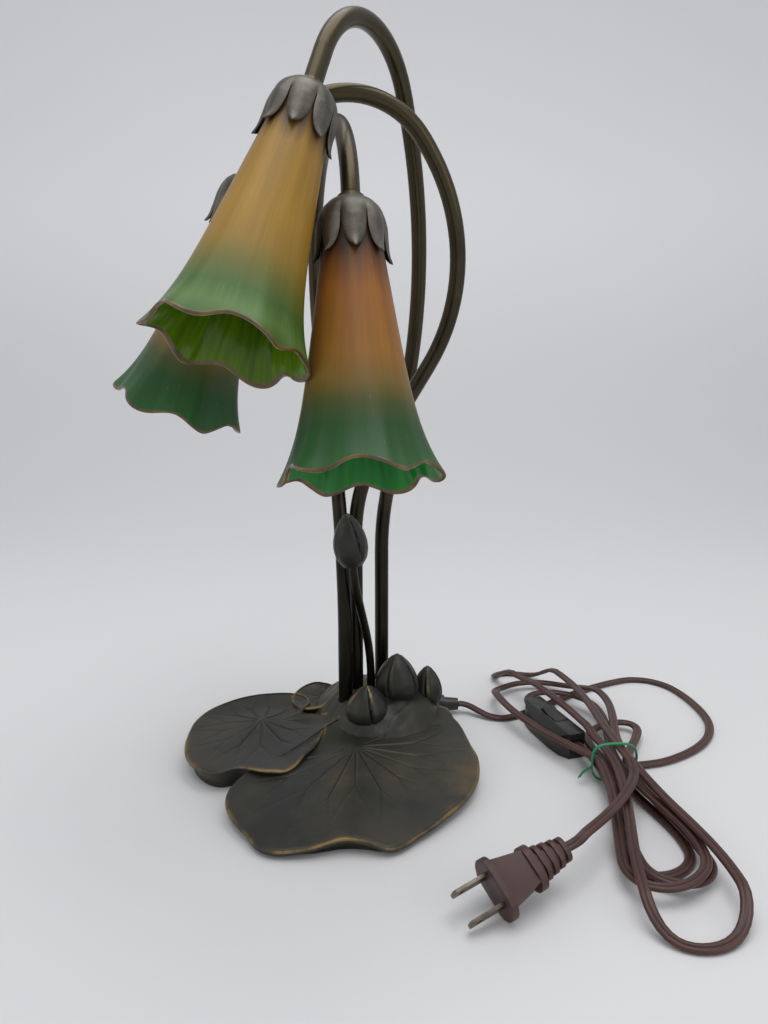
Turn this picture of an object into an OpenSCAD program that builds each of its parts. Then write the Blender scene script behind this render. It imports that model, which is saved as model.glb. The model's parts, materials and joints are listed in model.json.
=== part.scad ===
// Tulip shade table lamp: three bent tube arms rise from a cast lily pad base,
// and each carries a petal cap and a trumpet shaped glass shade over a small bulb.
// The origin is at the middle of the base's underside, and the front faces -Y.

/* [Base casting] */
// Radius of the large front leaf
front_leaf_r = 76; // [70:1:80]
// Radius of the left leaf
left_leaf_r = 44; // [40:1:47]
// Radius of the small leaf at the back
back_leaf_r = 19; // [16:1:22]
// Radius of the mound that the stems stand in
mound_r = 44; // [42:1:48]
// Height of the mound's top above the table
mound_h = 29; // [28:1:33]
// Thickness of the cast metal
cast_wall = 3; // [2.5:0.25:4]
// Thickness of a leaf's free edge
leaf_edge = 2.4; // [1.8:0.2:3]
// Thickness of the felt under the base
felt_t = 1.2; // [1:0.2:2]

/* [Arm tubes] */
// Outer diameter of the arm tubes
tube_d = 8.5; // [8:0.25:9]
// Wall of the arm tubes
tube_wall = 1; // [0.7:0.1:1.2]
// Length of tube below the flat underside of the mound, for the nut
tube_tail = 8; // [7.5:0.5:8.5]
// Diameter of the hole round each tube, over the tube's own
tube_hole_extra = 0.6; // [0.4:0.1:1]
// Length of tube that reaches into the petal cap, glass and socket
tube_nose = 9; // [8:0.5:10]
// Diameter of one insulated wire in the arms
wire_d = 2; // [1.6:0.1:2.2]

/* [Tall bud] */
// Diameter of the bud's stem
bud_stem_d = 5; // [4.5:0.25:5.5]
// Widest diameter of the bud
bud_d = 20; // [18:0.5:21]
// Length of the bud
bud_len = 31; // [28:1:33]

/* [Petal caps] */
// Outer diameter of the cap at its shoulder
cap_d = 29; // [28.4:0.2:30]
// Height of the cap from its top to the petal tips
cap_h = 27; // [25:0.5:28]
// Thickness of the stamped sheet
cap_sheet = 0.8; // [0.6:0.1:1]
// Number of petals
petals = 8; // [7:1:9]
// Height of the brass lock ring above the cap
ring_h = 3.2; // [2.5:0.1:4]
// Outer diameter of the brass lock ring
ring_d = 12; // [11:0.5:13]

/* [Glass shades] */
// Diameter of the shade over its rim
rim_d = 70; // [67:1:72]
// Length from the cap's top to the rim
shade_len = 121; // [117:1:125]
// Thickness of the glass
glass_t = 2; // [1.8:0.1:2.4]
// Number of ruffles round the rim
ruffles = 6; // [5:1:7]
// How far a ruffle moves the rim in and out
ruffle_r = 2.6; // [1:0.2:3]
// How far a ruffle moves the rim up and down
ruffle_z = 2.4; // [1:0.2:3]

/* [Sockets and bulbs] */
// Outer diameter of the socket body
socket_d = 17; // [16.5:0.25:18]
// Length of the socket body
socket_len = 30; // [28:1:32]
// Diameter of the bulb's screw base
bulb_base_d = 11.9; // [11.6:0.1:12.1]
// Diameter of the bulb's glass
bulb_d = 19; // [17:0.5:20]
// Length of the bulb's glass below the socket
bulb_len = 32; // [28:1:36]

/* [Cord] */
// Width of the flat two core cord
cord_w = 5.1; // [4.9:0.1:5.2]
// Thickness of the flat two core cord
cord_t = 2.6; // [2.4:0.1:2.7]
// Rise from one turn of the hank to the next
turn_rise = 3.3; // [3.2:0.05:3.5]

/* [Switch] */
// Length of the in-line switch
switch_len = 52; // [50:1:54]
// Width of the in-line switch
switch_w = 19; // [18:0.5:20]
// Height of the in-line switch
switch_h = 15; // [14.6:0.1:15.4]
// Length of the rocker
rocker_len = 18; // [16:0.5:19]
// Width of the rocker
rocker_w = 8; // [7:0.25:9]
// Angle that the rocker tips through
rocker_travel = 16; // [12:1:18]

/* [Plug] */
// Width of the plug's flange
flange_w = 26.5; // [25:0.5:28]
// Length of the plug from the flange's face to the end of its strain relief
plug_len = 38; // [36:1:40]
// Length of the blades
blade_len = 16.5; // [15.9:0.1:18.2]
// Distance between the blades' centres
blade_gap = 12.7; // [12.6:0.1:12.8]

/* [Hidden] */

bronze = "#4a4338";
brass = "#b08d4a";

// Where each arm stands on the base, and its bends from the base up. A bend is
// [straight length before it, roll about the tube, bend radius, bend angle].
FRONT = 0;
TALL = 1;
BACK = 2;
arm_at = [[10, 31.5], [31.5, 59], [16, 44]];
arm_foot_z = [28, 30, 29];
arm_bends = [
    [[38, 107, 259, 33], [8, 175, 80, 127], [4, -5, 63, 67]],
    [[81, 1, 189, 10.5], [64, 232, 234, 37.5], [4, 10, 42, 121.5]],
    [[95, -15, 99, 31.5], [55, 205, 103, 64], [4, 6, 45, 123]]];
arm_end_straight = [4, 20.5, 12];
shade_turn = [52, 57, 12];
mound_at = [28, 45];

// Flat underside inside the mound, where the washers and nuts seat.
seat_z = mound_h - 9;
washer_d = 13;
washer_t = 1;
nut_flats = 11.5;
nut_h = 4.5;
tube_start_z = seat_z - tube_tail;
tube_bore = tube_d - 2 * tube_wall;
bend_lap = 0.6;
bend_step = 0.1;
hole_d = tube_d + tube_hole_extra;

// ---- Curved paths made of straight lengths and bends ----

// A round bar or pipe along the bends. Each straight length laps into the bends
// beside it, which are "step" thinner. "off" is the bar's sideways offset in the
// frame of the first length, and keeps its direction through every roll.
module bent_bar(bends, last, d, bore = 0, off = [0, 0], i = 0) {
    back = i > 0 ? bend_lap : 0;
    if (i < len(bends)) {
        b = bends[i];
        turned = [off.x * cos(b[1]) + off.y * sin(b[1]), off.y * cos(b[1]) - off.x * sin(b[1])];
        translate([off.x, off.y, -back]) linear_extrude(b[0] + back + bend_lap) pipe_end(d, bore);
        translate([0, 0, b[0]]) rotate([0, 0, b[1]]) {
            translate([b[2], turned.y, 0]) rotate([0, 0, 180]) rotate([90, 0, 0])
                rotate_extrude(angle = b[3], $fn = 160)
                    translate([b[2] - turned.x, 0]) pipe_end(d - bend_step, bore > 0 ? bore - bend_step : 0);
            translate([b[2] * (1 - cos(b[3])), 0, b[2] * sin(b[3])]) rotate([0, b[3], 0])
                bent_bar(bends, last, d, bore, turned, i + 1);
        }
    } else {
        translate([off.x, off.y, -back]) linear_extrude(last + back) pipe_end(d, bore);
    }
}

module pipe_end(d, bore) {
    difference() {
        circle(d = d, $fn = 32);
        if (bore > 0) circle(d = bore, $fn = 32);
    }
}

// Puts its children in the frame at the end of the bends.
module at_bend_end(bends, last, i = 0) {
    if (i < len(bends)) {
        b = bends[i];
        translate([0, 0, b[0]]) rotate([0, 0, b[1]])
            translate([b[2] * (1 - cos(b[3])), 0, b[2] * sin(b[3])]) rotate([0, b[3], 0])
                at_bend_end(bends, last, i + 1) children();
    } else {
        translate([0, 0, last]) children();
    }
}

// The bends of an arm with its first length taken down to the tube's lower end.
function arm_path(a) =
    [for (i = [0 : len(arm_bends[a]) - 1])
        let (b = arm_bends[a][i])
            i == 0 ? [b[0] + arm_foot_z[a] - tube_start_z, b[1], b[2], b[3]] : b];

// Frame at the top of a petal cap: +Z runs down the shade's axis.
module at_cap(a) {
    translate([arm_at[a].x, arm_at[a].y, tube_start_z])
        at_bend_end(arm_path(a), arm_end_straight[a])
            rotate([0, 0, shade_turn[a]]) children();
}

// ---- Skins: solids made of rings of points ----

function ring_faces(n, j, k) =
    [for (i = [0 : n - 1], s = [0, 1])
        let (m = (i + 1) % n)
            s == 0 ? [j * n + i, k * n + m, j * n + m] : [j * n + i, k * n + i, k * n + m]];

// A solid between its first and last ring, each closed by a fan to its centre.
module skin(rings, first_centre, last_centre) {
    n = len(rings[0]);
    count = len(rings);
    points = concat([for (r = rings) each r], [first_centre, last_centre]);
    sides = [for (j = [0 : count - 2]) each ring_faces(n, j, j + 1)];
    first = [for (i = [0 : n - 1]) [count * n, i, (i + 1) % n]];
    last = [for (i = [0 : n - 1])
        [count * n + 1, (count - 1) * n + (i + 1) % n, (count - 1) * n + i]];
    polyhedron(points, concat(sides, first, last));
}

// A solid whose last ring joins its first again, as the glass of a bell does.
module ring_skin(rings) {
    n = len(rings[0]);
    count = len(rings);
    polyhedron([for (r = rings) each r],
        [for (j = [0 : count - 1]) each ring_faces(n, j, (j + 1) % count)]);
}

function smooth(x) = let (c = min(1, max(0, x))) c * c * (3 - 2 * c);

// Smooth closed curve through [angle, value, value] rows given in rising angle.
function around(table, a, k) =
    let (
        n = len(table),
        w = a - 360 * floor((a - table[0][0]) / 360),
        i = max([for (j = [0 : n - 1]) if (table[j][0] <= w) j]),
        from = table[i][0],
        to = i + 1 < n ? table[i + 1][0] : table[0][0] + 360,
        t = (w - from) / (to - from),
        p = [for (j = [-1 : 2]) table[(i + j + n) % n][k]]
    )
    p[1] + 0.5 * t * (p[2] - p[0] + t * (2 * p[0] - 5 * p[1] + 4 * p[2] - p[3]
        + t * (3 * (p[1] - p[2]) + p[3] - p[0])));

// ---- Base ----

// Each leaf's edge from its hub: [angle, radius as a share of the leaf's, height].
front_hub = [17.5, -8, 15];
front_edge = [[12, 0.87, 10.5], [34, 0.92, 13], [45, 0.95, 15.5], [62, 0.62, 19], [100, 0.42, 19],
    [150, 0.36, 17], [185, 0.5, 14], [209, 0.97, 9], [233, 1.09, 5.5], [243, 1.14, 4],
    [255, 1.07, 5.5], [267, 0.99, 8.5], [276, 1, 7.5], [284, 1.04, 4.5], [296, 0.97, 4.5],
    [312, 0.92, 6], [340, 0.91, 8], [358, 0.89, 10]];
left_hub = [-39.6, 23.4, 16];
left_edge = [[0, 0.98, 17], [16, 0.56, 17], [37, 0.76, 18.5], [57, 0.83, 18], [90, 0.76, 17.5],
    [133, 0.79, 16], [155, 0.87, 14.5], [191, 0.95, 13], [204, 1.02, 12], [228, 1.18, 11],
    [251, 1.27, 11], [265, 1.14, 13], [283, 1.3, 14], [293, 1.3, 13], [307, 1.12, 15], [342, 0.93, 17]];
back_hub = [-5, 50, 19];
back_edge = [[0, 0.9, 22], [60, 0.7, 21], [90, 0.8, 21], [114, 1, 20.5], [161, 1.05, 18],
    [220, 1, 17], [290, 0.8, 20]];
leaf_steps = 48;
under_edge = 5;

// One ring of a leaf, at a share of its radius, dished between hub and lip.
function leaf_ring(hub, edge, r, share, inset, drop) =
    [for (i = [0 : leaf_steps - 1])
        let (
            a = 360 * i / leaf_steps,
            reach = around(edge, a, 1) * r * share - inset,
            lip = around(edge, a, 2)
        )
        [hub.x + reach * cos(a), hub.y + reach * sin(a),
            hub.z - 2.2 * sin(180 * share) + (lip - hub.z) * pow(share, 2.4) - drop]];

// A lily pad: dished top, thin wavy edge, and a wall that slopes in under it.
// The walls run on below the table, where one flat cut levels them all.
module leaf(hub, edge, r, below) {
    foot = leaf_ring(hub, edge, r, 1, under_edge, 0);
    skin([
        [for (p = foot) [p.x, p.y, -below]],
        leaf_ring(hub, edge, r, 1, 0.7, leaf_edge),
        leaf_ring(hub, edge, r, 1, 0, 0.7),
        leaf_ring(hub, edge, r, 0.97, 0, 0),
        leaf_ring(hub, edge, r, 0.86, 0, 0),
        leaf_ring(hub, edge, r, 0.62, 0, 0),
        leaf_ring(hub, edge, r, 0.3, 0, 0)],
        [hub.x, hub.y, -below], [hub.x, hub.y, hub.z - 1.2]);
}

mound_profile = [[0, mound_h], [12, mound_h - 0.3], [24, mound_h - 2.5], [32, mound_h - 7],
    [38, mound_h - 13], [42, mound_h - 19], [mound_r, 6], [mound_r, 0], [0, 0]];
bud_sets = [[23, 22, 13, 26, 25], [41, 39, 20, 26, 31], [60, 49.5, 12, 18.5, 27]];
bud_grooves = 5;
front_cavity_r = front_leaf_r * 0.87 - under_edge - cast_wall - 2;
left_cavity_r = left_leaf_r * 0.72 - under_edge - cast_wall;
upper_cavity_r = 30.5;

// An ogive bud with grooves between its petals. It tapers in below the widest.
module bud_shape(d, h, grooves) {
    difference() {
        rotate_extrude($fn = 48)
            polygon([[0, 0], [0.3 * d, 0], [0.44 * d, 0.12 * h], [0.5 * d, 0.3 * h], [0.49 * d, 0.46 * h],
                [0.42 * d, 0.64 * h], [0.3 * d, 0.8 * h], [0.15 * d, 0.93 * h], [0, h]]);
        for (i = [0 : grooves - 1])
            rotate([0, 0, 360 * i / grooves]) translate([0.5 * d + 0.2, 0, 0.36 * h]) rotate([0, -13, 0])
                cylinder(h = h, d = 2.4, $fn = 16);
    }
}

module base_casting() {
    color(bronze) difference() {
        union() {
            difference() {
                union() {
                    leaf(front_hub, front_edge, front_leaf_r, 3);
                    leaf(left_hub, left_edge, left_leaf_r, 4);
                    leaf(back_hub, back_edge, back_leaf_r, 5);
                    translate([mound_at.x, mound_at.y, 0]) rotate_extrude($fn = 72) polygon(mound_profile);
                    translate(bushing_at) rotate([0, -90, 0])
                        cylinder(h = boss_len, d = bushing_d + 2 * boss_wall, $fn = 48);
                    for (b = bud_sets)
                        translate([b[0], b[1], b[2]]) bud_shape(b[3], b[4], bud_grooves);
                }
                translate([-200, -200, -10]) cube([400, 400, 10]);
                base_cavity(0);
            }
        }
        for (a = [FRONT : BACK])
            translate([arm_at[a].x, arm_at[a].y, seat_z - 1]) cylinder(h = mound_h, d = hole_d, $fn = 48);
        translate([bud_foot.x, bud_foot.y, seat_z - 1]) cylinder(h = mound_h, d = bud_stem_d, $fn = 32);
        translate(bushing_at) rotate([0, -90, 0]) translate([0, 0, -1])
            cylinder(h = boss_len + 2, d = bushing_d, $fn = 48);
    }
}

// Hollow underside: low under the leaves, and stepped up under the mound.
module base_cavity(inset) {
    translate([front_hub.x, front_hub.y, -1]) cylinder(h = felt_t + 4, r = front_cavity_r - inset, $fn = 96);
    translate([left_hub.x, left_hub.y, -1]) cylinder(h = felt_t + 5, r = left_cavity_r - inset, $fn = 96);
    translate([mound_at.x, mound_at.y, -1]) cylinder(h = 10, r = mound_r - cast_wall - 1 - inset, $fn = 96);
    translate([mound_at.x, mound_at.y, 5]) cylinder(h = seat_z - 5, r = upper_cavity_r - inset, $fn = 96);
}

// Felt that closes the hollow underside, level with the walls' lower edge.
module base_felt() {
    color("#3a2f26") intersection() {
        base_cavity(0.3);
        translate([-200, -200, 0]) cube([400, 400, felt_t]);
    }
}

// ---- Arms ----

module arm_tube(a) {
    color(bronze) translate([arm_at[a].x, arm_at[a].y, tube_start_z])
        bent_bar(arm_path(a), arm_end_straight[a] + tube_nose, tube_d, tube_bore);
}

// The same bends with more straight length at the start.
function lengthened(path, extra) =
    [for (i = [0 : len(path) - 1])
        i == 0 ? [path[0][0] + extra, path[0][1], path[0][2], path[0][3]] : path[i]];

// Fibre washers between the nuts and the flat underside of the mound.
module arm_washers() {
    color("silver") for (a = [FRONT : BACK])
        translate([arm_at[a].x, arm_at[a].y, seat_z - washer_t]) difference() {
            cylinder(h = washer_t, d = washer_d, $fn = 48);
            translate([0, 0, -1]) cylinder(h = washer_t + 2, d = tube_d + 0.3, $fn = 48);
        }
}

module arm_nuts() {
    color("silver") for (a = [FRONT : BACK])
        translate([arm_at[a].x, arm_at[a].y, seat_z - washer_t - nut_h]) difference() {
            cylinder(h = nut_h, d = nut_flats / cos(30), $fn = 6);
            translate([0, 0, -1]) cylinder(h = nut_h + 2, d = tube_d, $fn = 48);
        }
}

// ---- Tall bud ----

bud_foot = [25, 42];
bud_bends = [[4, 243, 90, 22], [26, 180, 80, 11]];
bud_tip_straight = 6;
bud_socket = 5;

module at_bud_foot() {
    translate([bud_foot.x, bud_foot.y, seat_z]) children();
}

module bud_stem() {
    bends = lengthened(bud_bends, mound_h - seat_z);
    color(bronze) at_bud_foot() bent_bar(bends, bud_tip_straight + bud_socket, bud_stem_d);
}

module tall_bud() {
    bends = lengthened(bud_bends, mound_h - seat_z);
    color(bronze) at_bud_foot() at_bend_end(bends, bud_tip_straight) difference() {
        bud_shape(bud_d, bud_len, 6);
        translate([0, 0, -1]) cylinder(h = bud_socket + 1, d = bud_stem_d, $fn = 32);
    }
}

// ---- Petal caps and lock rings ----

module lock_ring(a) {
    color(brass) at_cap(a) translate([0, 0, -ring_h]) difference() {
        rotate_extrude($fn = 48)
            polygon([[0, 0], [ring_d / 2 - 1, 0], [ring_d / 2, 0.8], [ring_d / 2, ring_h - 0.8],
                [ring_d / 2 - 0.6, ring_h], [0, ring_h]]);
        translate([0, 0, -1]) cylinder(h = ring_h + 2, d = tube_d, $fn = 48);
    }
}

// Outer profile of the cap, [radius, height down from its top].
function cap_outer(inset) =
    [[ring_d / 2 + 0.6, inset], [0.32 * cap_d, 0.03 * cap_h + inset],
        [0.42 * cap_d - 0.7 * inset, 0.12 * cap_h + 0.5 * inset], [0.478 * cap_d - inset, 0.25 * cap_h],
        [0.5 * cap_d - inset, 0.43 * cap_h], [0.505 * cap_d - inset, 0.68 * cap_h],
        [0.515 * cap_d - inset, 0.86 * cap_h], [0.55 * cap_d - inset, cap_h]];

module petal_cap(a) {
    outer = cap_outer(0);
    inner = cap_outer(cap_sheet);
    count = len(outer);
    slit_top = 0.36 * cap_h;
    half_pitch = PI * cap_d / petals / 2;
    color(bronze) at_cap(a) difference() {
        rotate_extrude($fn = 96)
            polygon(concat([[0, 0]], outer, [for (i = [count - 1 : -1 : 0]) inner[i]], [[0, cap_sheet]]));
        translate([0, 0, -1]) cylinder(h = cap_sheet + 2, d = tube_d + 0.1, $fn = 48);
        for (i = [0 : petals - 1]) rotate([0, 0, 360 * (i + 0.5) / petals]) {
            translate([0, 0, slit_top]) rotate([0, 90, 0]) cylinder(h = cap_d, d = 1.7, $fn = 16);
            rotate([90, 0, 90]) linear_extrude(cap_d)
                polygon([[-0.3, slit_top], [0.3, slit_top], [0.09 * half_pitch, 0.6 * cap_h],
                    [0.27 * half_pitch, 0.78 * cap_h], [0.58 * half_pitch, 0.91 * cap_h],
                    [1.08 * half_pitch, cap_h + 0.2], [1.08 * half_pitch, cap_h + 2],
                    [-1.08 * half_pitch, cap_h + 2], [-1.08 * half_pitch, cap_h + 0.2],
                    [-0.58 * half_pitch, 0.91 * cap_h], [-0.27 * half_pitch, 0.78 * cap_h],
                    [-0.09 * half_pitch, 0.6 * cap_h]]);
        }
    }
}

// ---- Glass shades ----

glass_top = cap_sheet + 1;
glass_hole_d = tube_d + 0.6;
glass_steps = 48;
// Outer radius of the glass down its length: [share of the length, radius].
neck_r = cap_d / 2 - cap_sheet - 0.7;
mouth_r = rim_d / 2 - ruffle_r;
function bell(t) =
    neck_r * (1 - 0.38 * pow(1 - min(1, t / 0.14), 3))
    + (mouth_r - neck_r) * (0.7 * max(0, t - 0.16) / 0.84 + 0.3 * pow(t, 8));
bell_shares = [0, 0.015, 0.06, 0.16, 0.3, 0.45, 0.6, 0.72, 0.81, 0.88, 0.94, 1];

function bell_ring(share, inset, low) =
    let (
        z_rim = shade_len - ruffle_z,
        z = max(low, glass_top + share * (z_rim - glass_top)),
        wave = pow(share, 9)
    )
    [for (i = [0 : glass_steps - 1])
        let (
            a = 360 * i / glass_steps,
            lobe = cos(ruffles * a) + 0.3 * cos(2 * ruffles * a),
            r = bell(share) - inset + ruffle_r * wave * lobe / 1.3
        )
        [r * cos(a), r * sin(a), z + ruffle_z * wave * cos(ruffles * a + 60)]];

module shade(a, tint) {
    top = glass_top;
    lid = glass_top + glass_t;
    hole = [for (z = [lid, top])
        [for (i = [0 : glass_steps - 1])
            let (t = 360 * i / glass_steps)
                [glass_hole_d / 2.4 * cos(t), glass_hole_d / 2.4 * sin(t), z]]];
    outside = [for (s = bell_shares) bell_ring(s, 0, top)];
    inside = [for (i = [len(bell_shares) - 1 : -1 : 1]) bell_ring(bell_shares[i], glass_t, lid)];
    color(tint) at_cap(a) difference() {
        ring_skin(concat([hole[1]], outside, inside, [hole[0]]));
        translate([0, 0, top - 1]) cylinder(h = glass_t + 2, d = glass_hole_d, $fn = 48);
    }
}

// A fibre washer above and one below each glass.
module shade_washers() {
    color("#8a7a5c") for (a = [FRONT : BACK], z = [cap_sheet, glass_top + glass_t])
        at_cap(a) translate([0, 0, z]) difference() {
            cylinder(h = 1, d = ring_d + 0.6, $fn = 48);
            translate([0, 0, -1]) cylinder(h = 3, d = tube_d + 0.3, $fn = 48);
        }
}

// ---- Sockets and bulbs ----

socket_top = glass_top + glass_t + 1;
socket_bore = bulb_base_d + 1.7;
shell_t = 0.6;
contact_z = tube_nose + 2.2;
socket_floor_t = 2;
floor_z = tube_nose + 0.2;

module socket_body(a) {
    color("#1c1a18") at_cap(a) difference() {
        union() {
            translate([0, 0, socket_top]) cylinder(h = socket_len, d = ring_d + 0.6, $fn = 48);
            translate([0, 0, socket_top + 2.7]) cylinder(h = 2, d1 = ring_d + 0.6, d2 = socket_d, $fn = 64);
            translate([0, 0, socket_top + 4.7]) cylinder(h = socket_len - 4.7, d = socket_d, $fn = 64);
            translate([0, 0, socket_top + socket_len - 3]) cylinder(h = 3, d = socket_d + 1.2, $fn = 64);
        }
        translate([0, 0, socket_top - 1]) cylinder(h = floor_z - socket_top + 1, d = tube_d, $fn = 48);
        translate([0, 0, floor_z - 1]) cylinder(h = socket_floor_t + 2, d = 6, $fn = 32);
        translate([0, 0, contact_z]) cylinder(h = socket_len, d = socket_bore, $fn = 64);
    }
}

module socket_screw_shells() {
    color(brass) for (a = [FRONT : BACK]) at_cap(a) translate([0, 0, contact_z + 1]) difference() {
        cylinder(h = socket_top + socket_len - contact_z - 3, d = socket_bore, $fn = 64);
        translate([0, 0, -1]) cylinder(h = socket_len, d = socket_bore - 2 * shell_t, $fn = 64);
    }
}

// The centre contact lies on the socket's floor, over the hole for the wires.
module socket_contacts() {
    color(brass) for (a = [FRONT : BACK]) at_cap(a) translate([0, 0, contact_z]) union() {
        cylinder(h = 0.6, d = socket_bore - 2 * shell_t - 2, $fn = 48);
        cylinder(h = 1.6, d = 5, $fn = 32);
    }
}

bulb_base_z = contact_z + 1.6;
bulb_glass_z = socket_top + socket_len + 1;

module bulb_glass(a) {
    color("#f4f1e6") at_cap(a) translate([0, 0, bulb_glass_z]) difference() {
        rotate_extrude($fn = 48) polygon(bulb_outline(0));
        rotate_extrude($fn = 48) polygon(bulb_outline(0.7));
    }
}

function bulb_outline(inset) =
    [[0, inset], [0.26 * bulb_d, inset], [0.3 * bulb_d - inset, 0.08 * bulb_len], [0.45 * bulb_d - inset, 0.3 * bulb_len],
        [0.5 * bulb_d - inset, 0.52 * bulb_len], [0.47 * bulb_d - inset, 0.72 * bulb_len],
        [0.36 * bulb_d - inset, 0.87 * bulb_len], [0.18 * bulb_d, 0.97 * bulb_len - inset], [0, bulb_len - inset]];

module bulb_bases() {
    color("silver") for (a = [FRONT : BACK]) at_cap(a) union() {
        translate([0, 0, bulb_base_z]) cylinder(h = 2, d = 5, $fn = 32);
        translate([0, 0, bulb_base_z + 2]) cylinder(h = bulb_glass_z - bulb_base_z - 2, d = bulb_base_d, $fn = 48);
    }
}

// ---- Wires inside ----

wire_gap = 0.1;
splice_at = [44, 34];
splice_d = 15;
splice_h = 9;
splice_exit = 80;
splice_exit_z = felt_t + 6.6;
wire_seat = 2;
wire_bend_r = 5.5;
// Height of each arm's wires over the felt: the back pair crosses above the others.
wire_over = [2.4, 2.4, 0.2];
function wire_z(a) = tube_start_z - wire_bend_r - wire_over[a];

// Two insulated wires run from the joint cap, up the tube and into the socket.
module arm_wires(a) {
    run = splice_at - arm_at[a];
    heading = atan2(run.y, run.x);
    level = norm(run) - wire_bend_r - splice_d / 2 + wire_seat;
    bends = concat([[level, 0, wire_bend_r, 90]], lengthened(
        [for (i = [0 : 2]) let (b = arm_path(a)[i]) i == 0 ? [b[0], b[1] - heading, b[2], b[3]] : b], wire_over[a]));
    reach = arm_end_straight[a] + contact_z;
    color("#2b2a28") translate([arm_at[a].x, arm_at[a].y, wire_z(a)])
        rotate([0, 0, heading]) translate([level + wire_bend_r, 0, 0]) rotate([0, -90, 0])
            for (s = [-1, 1]) bent_bar(bends, reach, wire_d, 0, [0, s * (wire_d + wire_gap) / 2]);
}

// The moulded cap over the joints between the arm wires and the cord.
module wire_joint_cap() {
    color("#6e6a60") translate([splice_at.x, splice_at.y, 0]) difference() {
        union() {
            translate([0, 0, felt_t]) cylinder(h = splice_h - 1.5, d = splice_d, $fn = 48);
            translate([0, 0, felt_t + splice_h - 1.5]) cylinder(h = 1.5, d1 = splice_d, d2 = splice_d - 3, $fn = 48);
        }
        for (a = [FRONT : BACK]) {
            run = arm_at[a] - splice_at;
            rotate([0, 0, atan2(run.y, run.x)]) for (s = [-1, 1])
                translate([splice_d / 2 - wire_seat, s * (wire_d + wire_gap) / 2, wire_z(a)]) rotate([0, 90, 0])
                    cylinder(h = splice_d, d = wire_d, $fn = 32);
        }
        rotate([0, 0, splice_exit])
            translate([splice_d / 2 - wire_seat, -(cord_w + 0.4) / 2, splice_exit_z - (cord_t + 0.4) / 2])
                cube([splice_d, cord_w + 0.4, cord_t + 0.4]);
    }
}

// ---- Cord ----

bushing_side = 20.5;
bushing_out = 2.7;
bushing_at = [mound_at.x + sqrt(pow(mound_r + bushing_out, 2) - pow(bushing_side, 2)), mound_at.y + bushing_side, 6];
bushing_d = 9;
boss_wall = 1.4;
boss_len = 14;
flange_d = 11.6;
slot_extra = 0.3;

module cord_slot(length) {
    translate([-length / 2, -(cord_w + slot_extra) / 2, -(cord_t + slot_extra) / 2])
        cube([length, cord_w + slot_extra, cord_t + slot_extra]);
}

// Snap-in bushing with a tapered strain relief outside the base.
module cord_bushing() {
    color("#1c1a18") translate(bushing_at) rotate([0, 90, 0]) difference() {
        union() {
            translate([0, 0, -4.5]) cylinder(h = 5, d = bushing_d, $fn = 48);
            cylinder(h = 2, d = flange_d, $fn = 48);
            translate([0, 0, 2]) cylinder(h = 9, d1 = bushing_d, d2 = cord_w + 2.4, $fn = 48);
        }
        rotate([0, -90, 0]) cord_slot(60);
    }
}

// The lead's route on the table, from the joint cap to the start of the hank.
splice_way = [cos(splice_exit), sin(splice_exit), 0];
lead_start = [splice_at.x, splice_at.y, splice_exit_z] + (splice_d / 2 - wire_seat) * splice_way;
lead_route = [lead_start, lead_start + 5 * splice_way, [46.4, 49, 7.6], [49.6, 57, 7], [56, 62.8, 6.3],
    [65, 65.5, 6], [71, 65.5, 6], [77, 65.5, 6], [83, 65.5, 6], [88.5, 64, 5.2], [94, 60.2, 3.6],
    [100, 56.4, 2.1], [108, 54.6, 1.4], [117, 57.5, 1.4],
    [127, 64, 1.4], [139, 73, 1.4], [152, 83, 1.4], [165, 93, 1.4], [179, 102, 1.4], [194, 110, 1.4],
    [208, 115, 1.4], [221, 113, 1.4], [231, 104, 1.4], [236, 91, 1.4], [238.5, 76, 1.4],
    [239, 60, 1.4], [236.5, 45, 1.4], [229.5, 30, 1.4], [219, 17.5, 1.4], [206, 7.5, 1.4],
    [192, 0, 1.4], [180, -3.5, 1.6], [170, -6.5, 2.3], [163, -13.5, 2.9]];

// The hank's own frame: its waist is where the tie holds it, and +Y runs up.
hank_at = [158, -18];
hank_turn = 4.5;
waist_lift = 1.6;
// Its lobes in order, away (+1) from the viewer or towards (-1):
// [side, start across, end across, reach, half width, lean, lean's power, turn,
// rise at its end].
lobes = [
    [-1, 3, 0, 81, 15.5, -8, 3, 0, 1],
    [1, 0, 8.8, 58, 15, 25, 1.5, 1, 0],
    [-1, 8.8, -8.8, 91, 15.5, -1, 3, 1, 1],
    [1, -8.8, 3, 98, 20, -9.5, 3, 2, 0],
    [-1, 3, -8.8, 97, 19, -13, 3, 2, 1],
    [1, -8.8, 8.8, 122, 34, -14, 1, 3, 0],
    [-1, 8.8, -3, 124, 21, -9, 3, 3, 1],
    [1, -3, 3, 147, 15.5, -25, 3, 4, 1]];

// How far a lobe droops to the table beyond what lies below it.
function droop(side, turn, away) =
    side > 0
        ? (turn == 4 ? 1 - smooth((away - 117) / 28) : turn == 3 ? 1 - 0.66 * smooth((away - 88) / 30) : 1)
        : (turn == 3 ? 1 - smooth((away - 100) / 24) : 1);

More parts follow.
